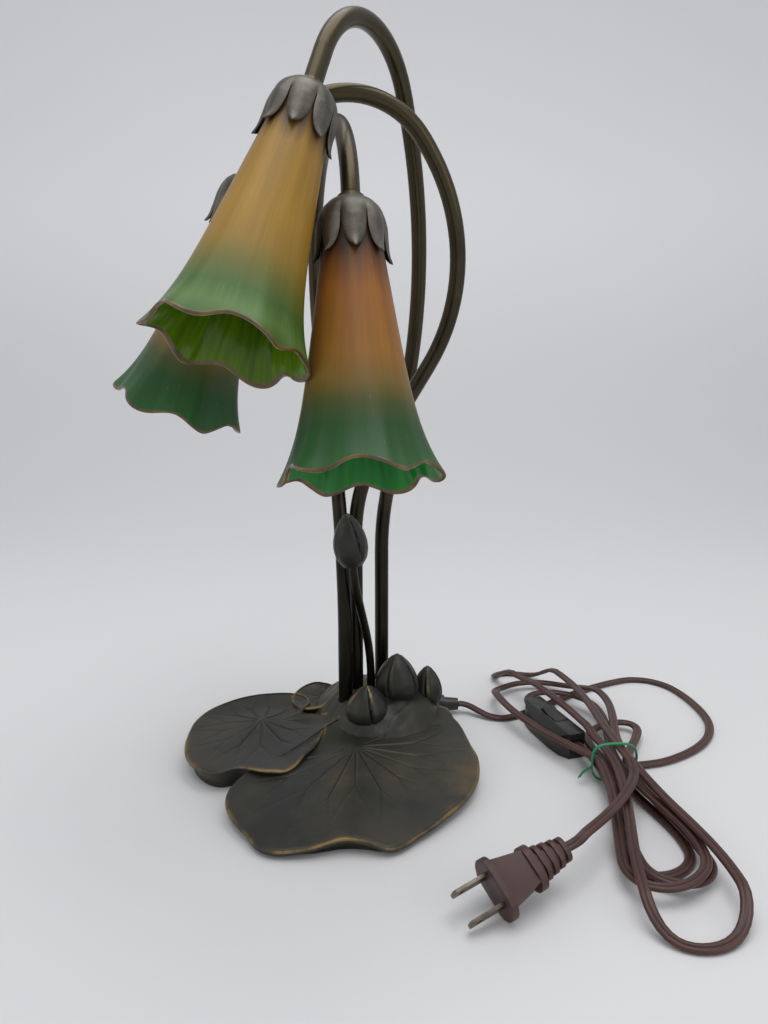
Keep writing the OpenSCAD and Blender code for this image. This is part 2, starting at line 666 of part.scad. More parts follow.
// A point on a lobe, for u from 0 at its start to 1 at its end. The widest one
// leaves the waist at once, to clear the switch, and the last one lies over it.
function lobe_point(l, u) =
    let (
        run = run_share,
        way = sign(l[1]) != 0 ? sign(l[1]) : l[0] * -1,
        along = l[3] - l[4],
        back = u > 1 - run,
        s = u < run ? u / run : back ? (1 - u) / run : 1,
        turn_angle = 180 * (u - run) / (1 - 2 * run),
        waist_x = back ? l[2] : l[1],
        edge_x = back ? -way * l[4] : way * l[4],
        spread = l[6] == 1 && !back ? sin(90 * s) : smooth(s),
        x = s < 1 ? waist_x + (edge_x - waist_x) * spread : way * l[4] * cos(turn_angle),
        y = s < 1 ? s * along : along + l[4] * sin(turn_angle),
        climb = back ? l[8] * (1 - smooth((y - 16) / (along - 16))) : 0,
        over = l[7] == 4 && !back ? 2.6 * smooth((y - 18) / 14) * (1 - smooth((y - 88) / 26)) : 0,
        level = turn_rise * (l[7] * droop(l[0], l[7], y) + climb),
        lift = waist_lift * (1 - smooth(y / 44))
    )
    [x + l[5] * pow(y / l[3], l[6]), l[0] * y, cord_t / 2 + 0.05 + level + lift + over];

function hank_place(p) =
    [hank_at.x + p.x * cos(hank_turn) - p.y * sin(hank_turn),
        hank_at.y + p.x * sin(hank_turn) + p.y * cos(hank_turn), p.z];

// Where a lobe's rings stand: close together at the waist, and round the turn.
run_share = 0.36;
function lobe_shares(l) =
    let (
        along = l[3] - l[4],
        mids = along > 78 ? 2 : 1,
        run = concat([0, 10, 21, 33], [for (k = [1 : mids]) 33 + (along - 33) * k / (mids + 1)])
            * run_share / along,
        turn = [for (k = [0 : 5]) run_share + (1 - 2 * run_share) * k / 5]
    )
    concat(run, turn, [for (k = [len(run) - 1 : -1 : 1]) 1 - run[k]]);

function hank_points() =
    [for (l = lobes, u = lobe_shares(l)) if (l != lobes[0] || u > 0) hank_place(lobe_point(l, u))];
hank_end = hank_place([3, 0, cord_t / 2 + 0.05 + 5 * turn_rise + waist_lift]);
hank_route = concat(hank_points(), [hank_end]);

plug_at = [78, -122, 11.3];
plug_yaw = 209;
plug_dip = 10;
plug_roll = -32.5;
plug_axis = [cos(plug_yaw) * cos(plug_dip), sin(plug_yaw) * cos(plug_dip), -sin(plug_dip)];
plug_back = plug_at - plug_axis * plug_len;
hank_out = hank_end - hank_route[len(hank_route) - 2];
tail_route = [hank_end, hank_end + 5 * hank_out / norm(hank_out), [162.2, -31, 18.9], [160.5, -42, 18], [155, -53.5, 17.8], [148, -64, 17.6],
    [140.5, -73.5, 17.6], [132.5, -82.5, 17.7], [124, -91, 17.6], plug_back - plug_axis * 8, plug_back];

// Rings of a flat cord along its route. "section" is its half outline.
function cord_ring(route, i, section) =
    let (
        a = route[max(0, i - 1)],
        b = route[min(len(route) - 1, i + 1)],
        flat = norm([b.x - a.x, b.y - a.y]),
        side = [a.y - b.y, b.x - a.x, 0] / flat,
        ahead = (b - a) / norm(b - a),
        up = cross(ahead, side)
    )
    [for (p = section) route[i] + side * p.x + up * p.y];

function flat_section(n) =
    [for (i = [0 : n - 1])
        let (a = 360 * (i + 0.5) / n, big = 1 / cos(180 / n))
            [min(0.5, max(-0.5, 0.5 * big * cos(a) * 1.05)) * cord_w, 0.5 * big * sin(a) * cord_t]];
function thin_section() =
    [for (p = [[0.5, 0], [0.3, 0.5], [-0.3, 0.5], [-0.5, 0], [-0.3, -0.5], [0.3, -0.5]])
        [p.x * cord_w, p.y * cord_t]];
lead_section = [for (p = [[0.5, 0.22], [0.34, 0.5], [-0.34, 0.5], [-0.5, 0.22],
    [-0.5, -0.22], [-0.34, -0.5], [0.34, -0.5], [0.5, -0.22]]) [p.x * cord_w, p.y * cord_t]];

module cord_tube(route, section) {
    rings = [for (i = [0 : len(route) - 1]) cord_ring(route, i, section)];
    color("#4b2a20") skin(rings, route[0], route[len(route) - 1]);
}

// The hank's least gap to itself, measured between points along its solid's
// straight pieces: two stretches clear each other either sideways or in height.
fine = [for (i = [0 : len(hank_route) - 2], k = [0 : 3])
    hank_route[i] + (hank_route[i + 1] - hank_route[i]) * k / 4];
hank_gap = min([for (i = [0 : len(fine) - 1], j = [i + 9 : 1 : len(fine) - 1])
    max(norm([fine[i].x - fine[j].x, fine[i].y - fine[j].y]) - cord_w, abs(fine[i].z - fine[j].z) - cord_t)]);
echo("least gap of the hank to itself, mm", hank_gap);

module cord_lead() {
    into = hank_route[1] - hank_route[0];
    cord_tube(concat(lead_route, [hank_route[0] - 5 * into / norm(into), hank_route[0]]), lead_section);
}

module cord_hank() {
    cord_tube(hank_route, thin_section());
}

module cord_tail() {
    cord_tube(tail_route, lead_section);
}

// A wire tie: a loop round the hank's waist with its two ends twisted together.
tie_t = 1.2;
tie_w = 2.3;
tie_gap = 0.45;
tie_half = 8.8 + cord_w / 2 + tie_t / 2 + tie_gap;
tie_top = cord_t + 0.05 + 5 * turn_rise + waist_lift + tie_t / 2 + tie_gap;

function tie_point(a) =
    [tie_half * sign(cos(a)) * pow(abs(cos(a)), 0.6), 0,
        tie_top / 2 + 0.35 + (tie_top / 2 - 0.3) * sign(sin(a)) * pow(abs(sin(a)), 0.6)];

module cord_tie() {
    steps = 24;
    loop = [for (i = [0 : steps - 1])
        let (p = tie_point(360 * (i + 0.5) / steps), n = [p.x / tie_half, 0, (p.z - tie_top / 2) / (tie_top / 2)])
            [for (k = [0 : 5]) p + n / norm(n) * tie_t / 2 * cos(60 * k) + [0, tie_w / 2 * sin(60 * k), 0]]];
    twist = [[-tie_half, 0, 9], [-tie_half - 2.5, -1, 8.4], [-tie_half - 5, -1.6, 7], [-tie_half - 7.5, -3.4, 5.4]];
    color("#1f7a45") translate([hank_at.x, hank_at.y, 0]) rotate([0, 0, hank_turn]) union() {
        ring_skin(loop);
        for (s = [0, 1])
            skin([for (i = [0 : 3]) [for (k = [0 : 5])
                twist[i] + [0, s * i * 0.9, -s * i * 0.7]
                    + tie_w / 2 * [0.4 * cos(60 * k), 0.7 * cos(60 * k), -0.7 * sin(60 * k)]]],
                twist[0], twist[3] + [0, s * 2.7, -s * 2.1]);
    }
}

// ---- In-line switch ----

switch_y = 51;
switch_x = -18.3;
switch_slant = 14;
switch_mid_z = cord_t / 2 + 0.05 + 2 * turn_rise;
pin_d = 2;
pin_z = switch_h - 3.6;
pin_reach = 7.4;
rocker_gap = 0.35;
shell_wall = 1.8;

// Frame at the middle of the switch's underside: +Y runs along the cord.
module at_switch() {
    p = hank_place([switch_x, switch_y, 0]);
    translate(p) rotate([0, 0, hank_turn + switch_slant]) children();
}

module switch_plan(inset = 0) {
    w = switch_w / 2 - inset;
    l = switch_len / 2 - inset;
    polygon([[-w, -l + 15], [-w * 0.86, -l + 6], [-w * 0.52, -l], [w * 0.52, -l], [w * 0.86, -l + 6],
        [w, -l + 15], [w, l - 15], [w * 0.86, l - 6], [w * 0.52, l], [-w * 0.52, l], [-w * 0.86, l - 6],
        [-w, l - 15]]);
}

// Roof shape of the upper half: flat on top, with a long sloping edge each side.
module switch_roof(inset = 0) {
    rotate([90, 0, 0]) translate([0, 0, -switch_len / 2]) linear_extrude(switch_len)
        polygon([[-switch_w, switch_mid_z], [-switch_w / 2 + inset, switch_mid_z + 2.2],
            [-switch_w / 2 + 4 + inset, switch_h - inset], [switch_w / 2 - 4 - inset, switch_h - inset],
            [switch_w / 2 - inset, switch_mid_z + 2.2], [switch_w, switch_mid_z]]);
}

module switch_mouths() {
    for (s = [-1, 1])
        translate([-(cord_w + 2) / 2, s * (switch_len / 2 - 4) - 6, switch_mid_z - cord_t / 2 - 0.6])
            cube([cord_w + 2, 12, cord_t + 2]);
}

module switch_bottom() {
    color("#161616") at_switch() difference() {
        linear_extrude(switch_mid_z) switch_plan();
        translate([0, 0, shell_wall]) linear_extrude(switch_mid_z) switch_plan(shell_wall + 1);
        switch_mouths();
    }
}

module switch_top() {
    color("#161616") at_switch() difference() {
        intersection() {
            translate([0, 0, switch_mid_z]) linear_extrude(switch_h) switch_plan();
            switch_roof();
        }
        intersection() {
            translate([0, 0, switch_mid_z - 1]) linear_extrude(switch_h) switch_plan(shell_wall + 1);
            switch_roof(shell_wall);
        }
        switch_mouths();
        translate([-(rocker_w / 2 + rocker_gap), -(rocker_len / 2 + rocker_gap), pin_z])
            cube([rocker_w + 2 * rocker_gap, rocker_len + 2 * rocker_gap, switch_h]);
        translate([-pin_reach, 0, pin_z]) rotate([0, 90, 0]) cylinder(h = 2 * pin_reach, d = pin_d, $fn = 32);
    }
}

// Side view of the rocker: two flats that meet over the pin, round underneath.
module switch_rocker() {
    half = rocker_len / 2;
    tip = rocker_travel / 2;
    color("#202020") at_switch() translate([0, 0, pin_z]) rotate([tip, 0, 0]) difference() {
        rotate([90, 0, 90]) translate([0, 0, -rocker_w / 2]) linear_extrude(rocker_w)
            polygon([[-0.965 * half, 2], [-0.88 * half, 4.2], [-0.8 * half, 5.2], [0, 3.9], [0.8 * half, 5.2],
                [0.88 * half, 4.2], [0.965 * half, 2], [4, 0.4], [2.6, -1.2], [1.2, -1.6], [-1.2, -1.6],
                [-2.6, -1.2], [-4, 0.4]]);
        translate([-rocker_w, 0, 0]) rotate([0, 90, 0]) cylinder(h = 2 * rocker_w, d = pin_d + 0.1, $fn = 32);
    }
}

module switch_pin() {
    color("silver") at_switch() translate([-pin_reach, 0, pin_z]) rotate([0, 90, 0])
        cylinder(h = 2 * pin_reach, d = pin_d, $fn = 32);
}

// Two brass strips on the floor of the lower half, beside the cord.
module switch_contacts() {
    color(brass) at_switch() for (s = [-1, 1])
        translate([s * 5 - 0.9, -8, shell_wall]) cube([1.8, 16, 1.5]);
}

// ---- Plug ----

flange_t = 3;
body_w = 20;
body_t = 14;
relief_ribs = 4;
// Width of the strain relief's wing and of its last rib.
wing_w = 19.5;
rib_w = 11;
blade_w = 6.35;
blade_t = 1.5;

// Frame at the middle of the plug's face: +X points out along the blades.
module at_plug() {
    translate(plug_at) rotate([0, 0, plug_yaw]) rotate([0, plug_dip, 0]) rotate([plug_roll, 0, 0]) children();
}

module plug_body() {
    grip_end = -18;
    relief_start = -21.5;
    rib_pitch = (plug_len + relief_start) / relief_ribs;
    color("#4b2a20") at_plug() difference() {
        union() {
            translate([-flange_t, 0, 0]) rotate([0, 90, 0]) linear_extrude(flange_t) oval(15.5, flange_w);
            difference() {
                rotate([90, 0, 0]) translate([0, 0, -body_t]) linear_extrude(2 * body_t)
                    polygon([[0, -body_t / 2], [grip_end, -body_t / 2 + 2], [grip_end, body_t / 2 - 2], [0, body_t / 2]]);
                for (s = [-1, 1]) rotate([0, 0, s * 9.5]) translate([-40, s > 0 ? body_w / 2 : -30 - body_w / 2, -20])
                    cube([80, 30, 40]);
                for (i = [0 : 7], s = [-1, 1])
                    translate([-5.5 - 1.5 * i, -20, s * (body_t / 2 + 0.1)]) cube([0.6, 40, 1], center = false);
            }
            translate([relief_start, 0, 0]) rotate([0, 90, 0]) linear_extrude(-grip_end + relief_start < 0 ? grip_end - relief_start : 1)
                oval(12.5, wing_w);
            for (i = [0 : relief_ribs - 1]) translate([-plug_len + rib_pitch * i, 0, 0]) rotate([0, 90, 0]) {
                linear_extrude(rib_pitch * 0.55) oval(8.4 + 0.5 * i, rib_w + 1.4 * i);
                linear_extrude(rib_pitch) oval(6.8 + 0.4 * i, 0.76 * rib_w + 1.2 * i);
            }
        }
        for (s = [-1, 1])
            translate([-12, s * blade_gap / 2 - blade_t / 2, -blade_w / 2]) cube([20, blade_t, blade_w]);
    }
}

module oval(h, w) {
    r = h / 2;
    union() {
        for (s = [-1, 1]) translate([0, s * (w / 2 - r)]) circle(r = r, $fn = 48);
        square([h, w - h], center = true);
    }
}

module plug_blades() {
    color(brass) at_plug() for (s = [-1, 1])
        translate([0, s * blade_gap / 2 + blade_t / 2, 0]) rotate([90, 0, 0]) linear_extrude(blade_t) difference() {
            polygon([[-12, -blade_w / 2], [blade_len - 1.2, -blade_w / 2], [blade_len, -blade_w / 2 + 1.2],
                [blade_len, blade_w / 2 - 1.2], [blade_len - 1.2, blade_w / 2], [-12, blade_w / 2]]);
            translate([blade_len - 4.2, 0]) circle(d = 3, $fn = 24);
        }
}

base_casting();
base_felt();
arm_tube(FRONT);  // arm_tube_front
arm_tube(TALL);  // arm_tube_tall
arm_tube(BACK);  // arm_tube_back
arm_washers();
arm_nuts();
bud_stem();
tall_bud();
lock_ring(FRONT);  // lock_ring_front
lock_ring(TALL);  // lock_ring_tall
lock_ring(BACK);  // lock_ring_back
petal_cap(FRONT);  // petal_cap_front
petal_cap(TALL);  // petal_cap_tall
petal_cap(BACK);  // petal_cap_back
shade(FRONT, "#d8783a");  // shade_front
shade(TALL, "#d89a2c");  // shade_tall
shade(BACK, "#d8783a");  // shade_back
shade_washers();
socket_body(FRONT);  // socket_front
socket_body(TALL);  // socket_tall
socket_body(BACK);  // socket_back
socket_screw_shells();
socket_contacts();
bulb_glass(FRONT);  // bulb_front
bulb_glass(TALL);  // bulb_tall
bulb_glass(BACK);  // bulb_back
bulb_bases();
arm_wires(FRONT);  // arm_wires_front
arm_wires(TALL);  // arm_wires_tall
arm_wires(BACK);  // arm_wires_back
wire_joint_cap();
cord_bushing();
cord_lead();
cord_hank();
cord_tail();
cord_tie();
switch_bottom();
switch_top();
switch_rocker();
switch_pin();
switch_contacts();
plug_body();
plug_blades();
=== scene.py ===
import json
import math

import bpy
import numpy as np
from mathutils import Matrix, Vector

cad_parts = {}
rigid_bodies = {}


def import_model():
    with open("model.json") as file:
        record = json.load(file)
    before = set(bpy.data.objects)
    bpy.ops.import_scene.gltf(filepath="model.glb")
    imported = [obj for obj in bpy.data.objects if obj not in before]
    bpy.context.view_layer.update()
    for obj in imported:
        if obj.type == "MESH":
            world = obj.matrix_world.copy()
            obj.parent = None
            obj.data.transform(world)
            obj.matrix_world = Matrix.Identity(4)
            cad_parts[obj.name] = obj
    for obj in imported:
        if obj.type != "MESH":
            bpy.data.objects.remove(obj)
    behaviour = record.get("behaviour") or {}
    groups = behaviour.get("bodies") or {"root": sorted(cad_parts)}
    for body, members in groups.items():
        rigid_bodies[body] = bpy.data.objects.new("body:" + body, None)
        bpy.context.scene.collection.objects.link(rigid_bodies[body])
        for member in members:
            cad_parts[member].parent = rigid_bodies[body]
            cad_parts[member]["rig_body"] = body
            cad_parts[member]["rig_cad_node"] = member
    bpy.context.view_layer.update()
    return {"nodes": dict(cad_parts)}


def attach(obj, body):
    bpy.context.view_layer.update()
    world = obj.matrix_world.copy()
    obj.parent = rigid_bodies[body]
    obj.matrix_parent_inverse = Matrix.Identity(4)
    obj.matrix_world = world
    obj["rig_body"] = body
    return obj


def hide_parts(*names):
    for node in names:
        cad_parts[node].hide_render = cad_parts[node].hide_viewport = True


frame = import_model()
bpy.ops.object.select_all(action="DESELECT")
nodes = frame["nodes"]
mm = 0.001


# ---- Camera ----
# A hand-held view from just above the shades' rims, tipped down.

camera_data = bpy.data.cameras.new("view")
camera_data.lens = 27.04
camera_data.clip_start = 0.01
camera = bpy.data.objects.new("view", camera_data)
camera.location = (33 * mm, -402 * mm, 224 * mm)
tipped_down = 11
camera.rotation_euler = (math.radians(90 - tipped_down), 0, 0)
bpy.context.scene.collection.objects.link(camera)
bpy.context.scene.camera = camera


# ---- Materials ----
# A node's socket that works in Python arithmetic, and what puts a finish on a
# piece and hands the piece over.

class Wire:
    """A node's socket. Arithmetic on it adds Math nodes; node() adds any other node."""

    def __init__(self, tree, socket=None):
        self.tree, self.socket = tree, socket

    def node(self, kind, into=None, out=0, stops=None, **settings):
        made = self.tree.nodes.new("ShaderNode" + kind)
        for name, value in settings.items():
            setattr(made, name, value)
        if stops:
            ramp = made.color_ramp.elements
            while len(ramp) < len(stops):
                ramp.new(0.5)
            for element, (place, colour) in zip(ramp, stops):
                element.position = place
                element.color = (*colour, 1)
        for name, value in (into or {}).items():
            if isinstance(value, Wire):
                self.tree.links.new(value.socket, made.inputs[name])
            else:
                made.inputs[name].default_value = value
        return Wire(self.tree, made.outputs[out])

    def math(self, operation, first, second):
        return self.node("Math", {0: first, 1: second}, operation=operation)

    def __add__(self, other):
        return self.math("ADD", self, other)

    def __sub__(self, other):
        return self.math("SUBTRACT", self, other)

    def __mul__(self, other):
        return self.math("MULTIPLY", self, other)

    __radd__, __rmul__ = __add__, __mul__

    def between(self, low, high):
        """0 below low, 1 above high, and smooth in between."""
        return self.node("MapRange", {"Value": self, "From Min": low, "From Max": high},
                         interpolation_type="SMOOTHSTEP")

    def mix(self, first, second):
        """First colour where this is 0, second where it is 1."""
        def colour(value):
            return value if isinstance(value, Wire) else (*value, 1)
        return self.node("Mix", {0: self, 6: colour(first), 7: colour(second)}, out=2, data_type="RGBA")

    def noise(self, vector, scale, detail=3.0, roughness=0.5):
        return self.node("TexNoise", {"Vector": vector, "Scale": scale, "Detail": detail,
                                      "Roughness": roughness})

    def bump(self, height, strength, distance):
        return self.node("Bump", {"Height": height, "Strength": strength, "Distance": distance})

    def place(self):
        return self.node("TexCoord", out="Object")

    def painted(self, name, out="Fac"):
        return self.node("Attribute", out=out, attribute_name=name)


def finish_of(name, build, **fixed):
    """A material. Build gets a Wire and returns the Principled sockets that vary."""
    material = bpy.data.materials.new(name)
    material.use_nodes = True
    shader = material.node_tree.nodes["Principled BSDF"]
    for socket, value in fixed.items():
        shader.inputs[socket.replace("_", " ")].default_value = value
    for socket, value in build(Wire(material.node_tree)).items():
        target = shader.inputs[socket]
        if isinstance(value, Wire):
            material.node_tree.links.new(value.socket, target)
        else:
            target.default_value = value
    return material


def wear(piece, *materials):
    """Puts materials on a piece, in the order of its faces' slots."""
    while piece.data.materials:
        piece.data.materials.pop()
    for material in materials:
        piece.data.materials.append(material)


def hand_over(piece, slot, stands_for=(), body="lamp"):
    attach(piece, body)
    if stands_for:
        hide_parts(*stands_for)
    piece.select_set(False)


# ---- Cord ----
# Flat two core lamp cord in brown plastic, with a groove between its cores that
# is painted near black as painted shade. It leaves the base at the back, is folded
# into a hank whose lobes follow one formula, and ends in the plug. Points are in mm.

cord_w, cord_t = 5.1 * mm, 2.6 * mm
lowest, turn_rise, waist_lift = 1.35, 3.3, 1.6  # mm: middle of the lowest turn, each turn more, at the waist
hank_at, hank_turn = (158, -18), math.radians(4.5)
lead_points = [(81, 65.5, 6), (84, 65.5, 6), (88.5, 64, 5.2), (94, 60.2, 3.6), (100, 56.4, 2.1),
               (108, 54.6, 1.4), (117, 57.5, 1.4), (127, 64, 1.4), (139, 73, 1.4), (152, 83, 1.4),
               (165, 93, 1.4), (179, 102, 1.4), (194, 110, 1.4), (208, 115, 1.4), (221, 113, 1.4),
               (231, 104, 1.4), (236, 91, 1.4), (238.5, 76, 1.4), (239, 60, 1.4), (236.5, 45, 1.4),
               (229.5, 30, 1.4), (219, 17.5, 1.4), (206, 7.5, 1.4), (192, 0, 1.4), (180, -3.5, 1.6),
               (170, -6.5, 2.3), (163, -13.5, 2.9)]
# side, start across, end across, reach, half width, lean, lean's power, turn, rise
lobes = [(-1, 3, 0, 81, 15.5, -8, 3, 0, 1),
         (1, 0, 8.8, 58, 15, 25, 1.5, 1, 0),
         (-1, 8.8, -8.8, 91, 15.5, -1, 3, 1, 1),
         (1, -8.8, 3, 98, 20, -9.5, 3, 2, 0),
         (-1, 3, -8.8, 97, 19, -13, 3, 2, 1),
         (1, -8.8, 8.8, 122, 34, -14, 1, 3, 0),
         (-1, 8.8, -3, 124, 21, -9, 3, 3, 1),
         (1, -3, 3, 147, 15.5, -25, 3, 4, 1)]
run_share = 0.36


def smooth(x):
    c = min(1.0, max(0.0, x))
    return c * c * (3 - 2 * c)


def droop(side, turn, away):
    """How far a lobe droops to the table beyond what lies below it."""
    if side > 0:
        if turn == 4:
            return 1 - smooth((away - 117) / 28)
        return 1 - 0.66 * smooth((away - 88) / 30) if turn == 3 else 1
    return 1 - smooth((away - 100) / 24) if turn == 3 else 1


def lobe_point(lobe, u):
    side, start, end, reach, half, lean, power, turn, rise = lobe
    way = math.copysign(1, start) if start else -side
    along = reach - half
    back = u > 1 - run_share
    s = (1 - u) / run_share if back else min(1, u / run_share)
    turned = math.pi * (u - run_share) / (1 - 2 * run_share)
    if s < 1:
        waist_x, edge_x = (end, -way * half) if back else (start, way * half)
        spread = math.sin(math.pi / 2 * s) if power == 1 and not back else smooth(s)
        x, y = waist_x + (edge_x - waist_x) * spread, s * along
    else:
        x, y = way * half * math.cos(turned), along + half * math.sin(turned)
    climb = rise * (1 - smooth((y - 16) / (along - 16))) if back else 0
    over = 2.6 * smooth((y - 18) / 14) * (1 - smooth((y - 88) / 26)) if turn == 4 and not back else 0
    z = lowest + turn_rise * (turn * droop(side, turn, y) + climb) + waist_lift * (1 - smooth(y / 44)) + over
    x, y = x + lean * (y / reach) ** power, side * y
    return (hank_at[0] + x * math.cos(hank_turn) - y * math.sin(hank_turn),
            hank_at[1] + x * math.sin(hank_turn) + y * math.cos(hank_turn), z)


def eased(points, steps):
    """A smooth curve through points, with that many steps between each two."""
    p = [np.array(q, float) for q in points]
    p = [2 * p[0] - p[1], *p, 2 * p[-1] - p[-2]]
    line = []
    for a, b, c, d in zip(p, p[1:], p[2:], p[3:]):
        for t in np.arange(steps) / steps:
            line.append(b + 0.5 * t * (c - a + t * (2 * a - 5 * b + 4 * c - d + t * (3 * (b - c) + d - a))))
    return [*line, p[-2]]


plug_at = Vector((78, -122, 11.3))
plug_turn = (math.radians(209), math.radians(10), math.radians(-32.5))
plug_frame = (Matrix.Translation(plug_at) @ Matrix.Rotation(plug_turn[0], 4, "Z")
              @ Matrix.Rotation(plug_turn[1], 4, "Y") @ Matrix.Rotation(plug_turn[2], 4, "X"))
plug_back = plug_frame @ Vector((-38, 0, 0))
hank_end = (hank_at[0] + 3 * math.cos(hank_turn), hank_at[1] + 3 * math.sin(hank_turn),
            lowest + 5 * turn_rise + waist_lift)
tail_points = [hank_end, (162.2, -31, 18.9), (160.5, -42, 18), (155, -53.5, 17.8), (148, -64, 17.6),
               (140.5, -73.5, 17.6), (132.5, -82.5, 17.7), (124, -91, 17.6),
               tuple(plug_frame @ Vector((-46, 0, 0))), tuple(plug_back)]
lobe_steps = 64
hank = [lobe_point(lobe, (k + 0.5) / lobe_steps) for lobe in lobes for k in range(lobe_steps)]
route = np.array([*eased(lead_points, 4)[:-1], *hank, *eased(tail_points, 5)]) * mm


def tube(name, line, outline):
    """A tube whose ring at each point of the line is the outline, laid flat."""
    ahead = np.gradient(line, axis=0)
    side = np.stack([-ahead[:, 1], ahead[:, 0], np.zeros(len(line))], 1)
    side /= np.linalg.norm(side, axis=1)[:, None]
    ahead /= np.linalg.norm(ahead, axis=1)[:, None]
    up = np.cross(ahead, side)
    n = len(outline)
    points = [line[i] + side[i] * x + up[i] * y for i in range(len(line)) for x, y in outline]
    faces = [(i * n + k, i * n + (k + 1) % n, (i + 1) * n + (k + 1) % n, (i + 1) * n + k)
             for i in range(len(line) - 1) for k in range(n)]
    faces += [tuple(range(n))[::-1], tuple(range(len(points) - n, len(points)))]
    mesh = bpy.data.meshes.new(name)
    mesh.from_pydata(points, [], faces)
    piece = bpy.data.objects.new(name, mesh)
    bpy.context.scene.collection.objects.link(piece)
    mesh.shade_smooth()
    return piece


core = cord_t / 2
core_at = cord_w / 2 - core
turns = [math.radians(a) for a in (-115, -75, -38, 0, 38, 75, 115)]
cord_outline = [(core_at + core * math.cos(a), core * math.sin(a)) for a in turns]
cord_outline += [(0, 0.52 * core)] + [(-x, y) for x, y in cord_outline[::-1]] + [(0, -0.52 * core)]
cord = tube("cord", route, cord_outline)
inside_points = [(45, 39.4, 7.8), (45.8, 44.3, 7.8), (46.4, 49, 7.6), (49.6, 57, 7), (56, 62.8, 6.3),
                 (65, 65.5, 6), (73, 65.5, 6), (81, 65.5, 6)]
cord_inside = tube("cord_inside_base", np.array(eased(inside_points, 4)) * mm, cord_outline)
# The groove's points are marked for the painted shade in the groove.
groove = cord.data.attributes.new("groove", "FLOAT", "POINT")
groove.data.foreach_set("value", np.tile([k in (7, 15) for k in range(16)], len(route)).astype(np.float32))


def brown_plastic(w, light=1.0):
    place = w.place()
    grain = w.noise(place, 2600, 2)
    cloud = w.noise(place, 60, 2)
    colour = (cloud * 0.7 + grain * 0.3).between(0.3, 0.7).mix(
        tuple(light * c for c in (0.045, 0.0165, 0.0115)), tuple(light * c for c in (0.075, 0.029, 0.021)))
    return colour, grain


def cord_sockets(w):
    colour, grain = brown_plastic(w)
    # Painted shade: the groove between the cores is painted near black.
    dark = w.painted("groove").between(0.25, 1.0)
    return {"Base Color": dark.mix(colour, (0.012, 0.004, 0.003)),
            "Roughness": 0.36 + 0.1 * grain, "Normal": w.bump(grain, 0.12, 0.0002)}


cord_brown = finish_of("cord_brown", cord_sockets, Specular_IOR_Level=0.45)
wear(cord, cord_brown)
wear(cord_inside, cord_brown)


# ---- Base ----
# One hollow casting in white metal with an antique bronze patina: three lily
# pads, the mound that the stems stand in, and three low buds. Veins are cast
# into the pads, and the patina is rubbed back to gold on edges and ridges.

# Each pad: its hub, radius, depth of its foot, and edge as (angle, share of the radius, height).
pads = [
    ((17.5, -8, 15), 76, 3, [
        (12, 0.87, 10.5), (34, 0.92, 13), (45, 0.95, 15.5), (62, 0.62, 19), (100, 0.42, 19),
        (150, 0.36, 17), (185, 0.5, 14), (209, 0.97, 9), (233, 1.09, 5.5), (243, 1.14, 4),
        (255, 1.07, 5.5), (267, 0.99, 8.5), (276, 1, 7.5), (284, 1.04, 4.5), (296, 0.97, 4.5),
        (312, 0.92, 6), (340, 0.91, 8), (358, 0.89, 10)]),
    ((-39.6, 23.4, 16), 44, 4, [
        (0, 0.98, 17), (16, 0.56, 17), (37, 0.76, 18.5), (57, 0.83, 18), (90, 0.76, 17.5),
        (133, 0.79, 16), (155, 0.87, 14.5), (191, 0.95, 13), (204, 1.02, 12), (228, 1.18, 11),
        (251, 1.27, 11), (265, 1.14, 13), (283, 1.3, 14), (293, 1.3, 13), (307, 1.12, 15),
        (342, 0.93, 17)]),
    ((-5, 50, 19), 19, 5, [
        (0, 0.9, 22), (60, 0.7, 21), (90, 0.8, 21), (114, 1, 20.5), (161, 1.05, 18),
        (220, 1, 17), (290, 0.8, 20)])]
# Each pad's veins: (angle, share where it forks, angle of its left and right fork).
veins = [
    [(196, 0.5, 8, 9), (216, 0.55, 7, 8), (236, 0.5, 8, 7), (254, 0.55, 7, 7), (271, 0.45, 8, 9),
     (291, 0.5, 8, 8), (312, 0.48, 9, 8), (333, 0.5, 8, 8), (353, 0.5, 8, 8), (17, 0.52, 8, 9),
     (42, 0.5, 8, 8)],
    [(8, 0.6, 0, 12), (50, 0.5, 10, 10), (84, 0.5, 10, 10), (118, 0.5, 10, 10), (150, 0.5, 9, 10),
     (178, 0.5, 9, 9), (203, 0.5, 9, 9), (228, 0.5, 8, 9), (252, 0.5, 8, 8), (277, 0.5, 9, 9),
     (303, 0.5, 9, 9), (333, 0.5, 10, 9)],
    [(30, 0.6, 0, 0), (90, 0.6, 0, 0), (140, 0.6, 0, 0), (190, 0.6, 0, 0), (250, 0.6, 0, 0)]]
mound_at, mound_h = (28, 45), 29
mound_rings = 40
mound_profile = [(12, 28.7), (24, 26.5), (32, 22), (38, 16), (42, 10), (44, 6), (44, -6)]
# Low buds: x, y, foot, width, height, turn of its first groove.
low_petals, petal_twist = 4, 14
low_buds = [(23, 22, 13, 26, 25, 200), (41, 39, 20, 26, 31, 248), (60, 49.5, 12, 18.5, 27, 265)]
edge_t = 2.4


def around(table, angles, k):
    """Smooth closed curve through (angle, value, value) rows, at each of the angles."""
    keys = np.array([row[0] for row in table], float)
    values = np.array([row[k] for row in table], float)
    n = len(table)
    w = (np.asarray(angles, float) - keys[0]) % 360 + keys[0]
    i = np.searchsorted(keys, w, side="right") - 1
    ends = np.append(keys[1:], keys[0] + 360)
    t = (w - keys[i]) / (ends[i] - keys[i])
    a, b, c, d = (values[(i + j) % n] for j in (-1, 0, 1, 2))
    return b + 0.5 * t * (c - a + t * (2 * a - 5 * b + 4 * c - d + t * (3 * (b - c) + d - a)))


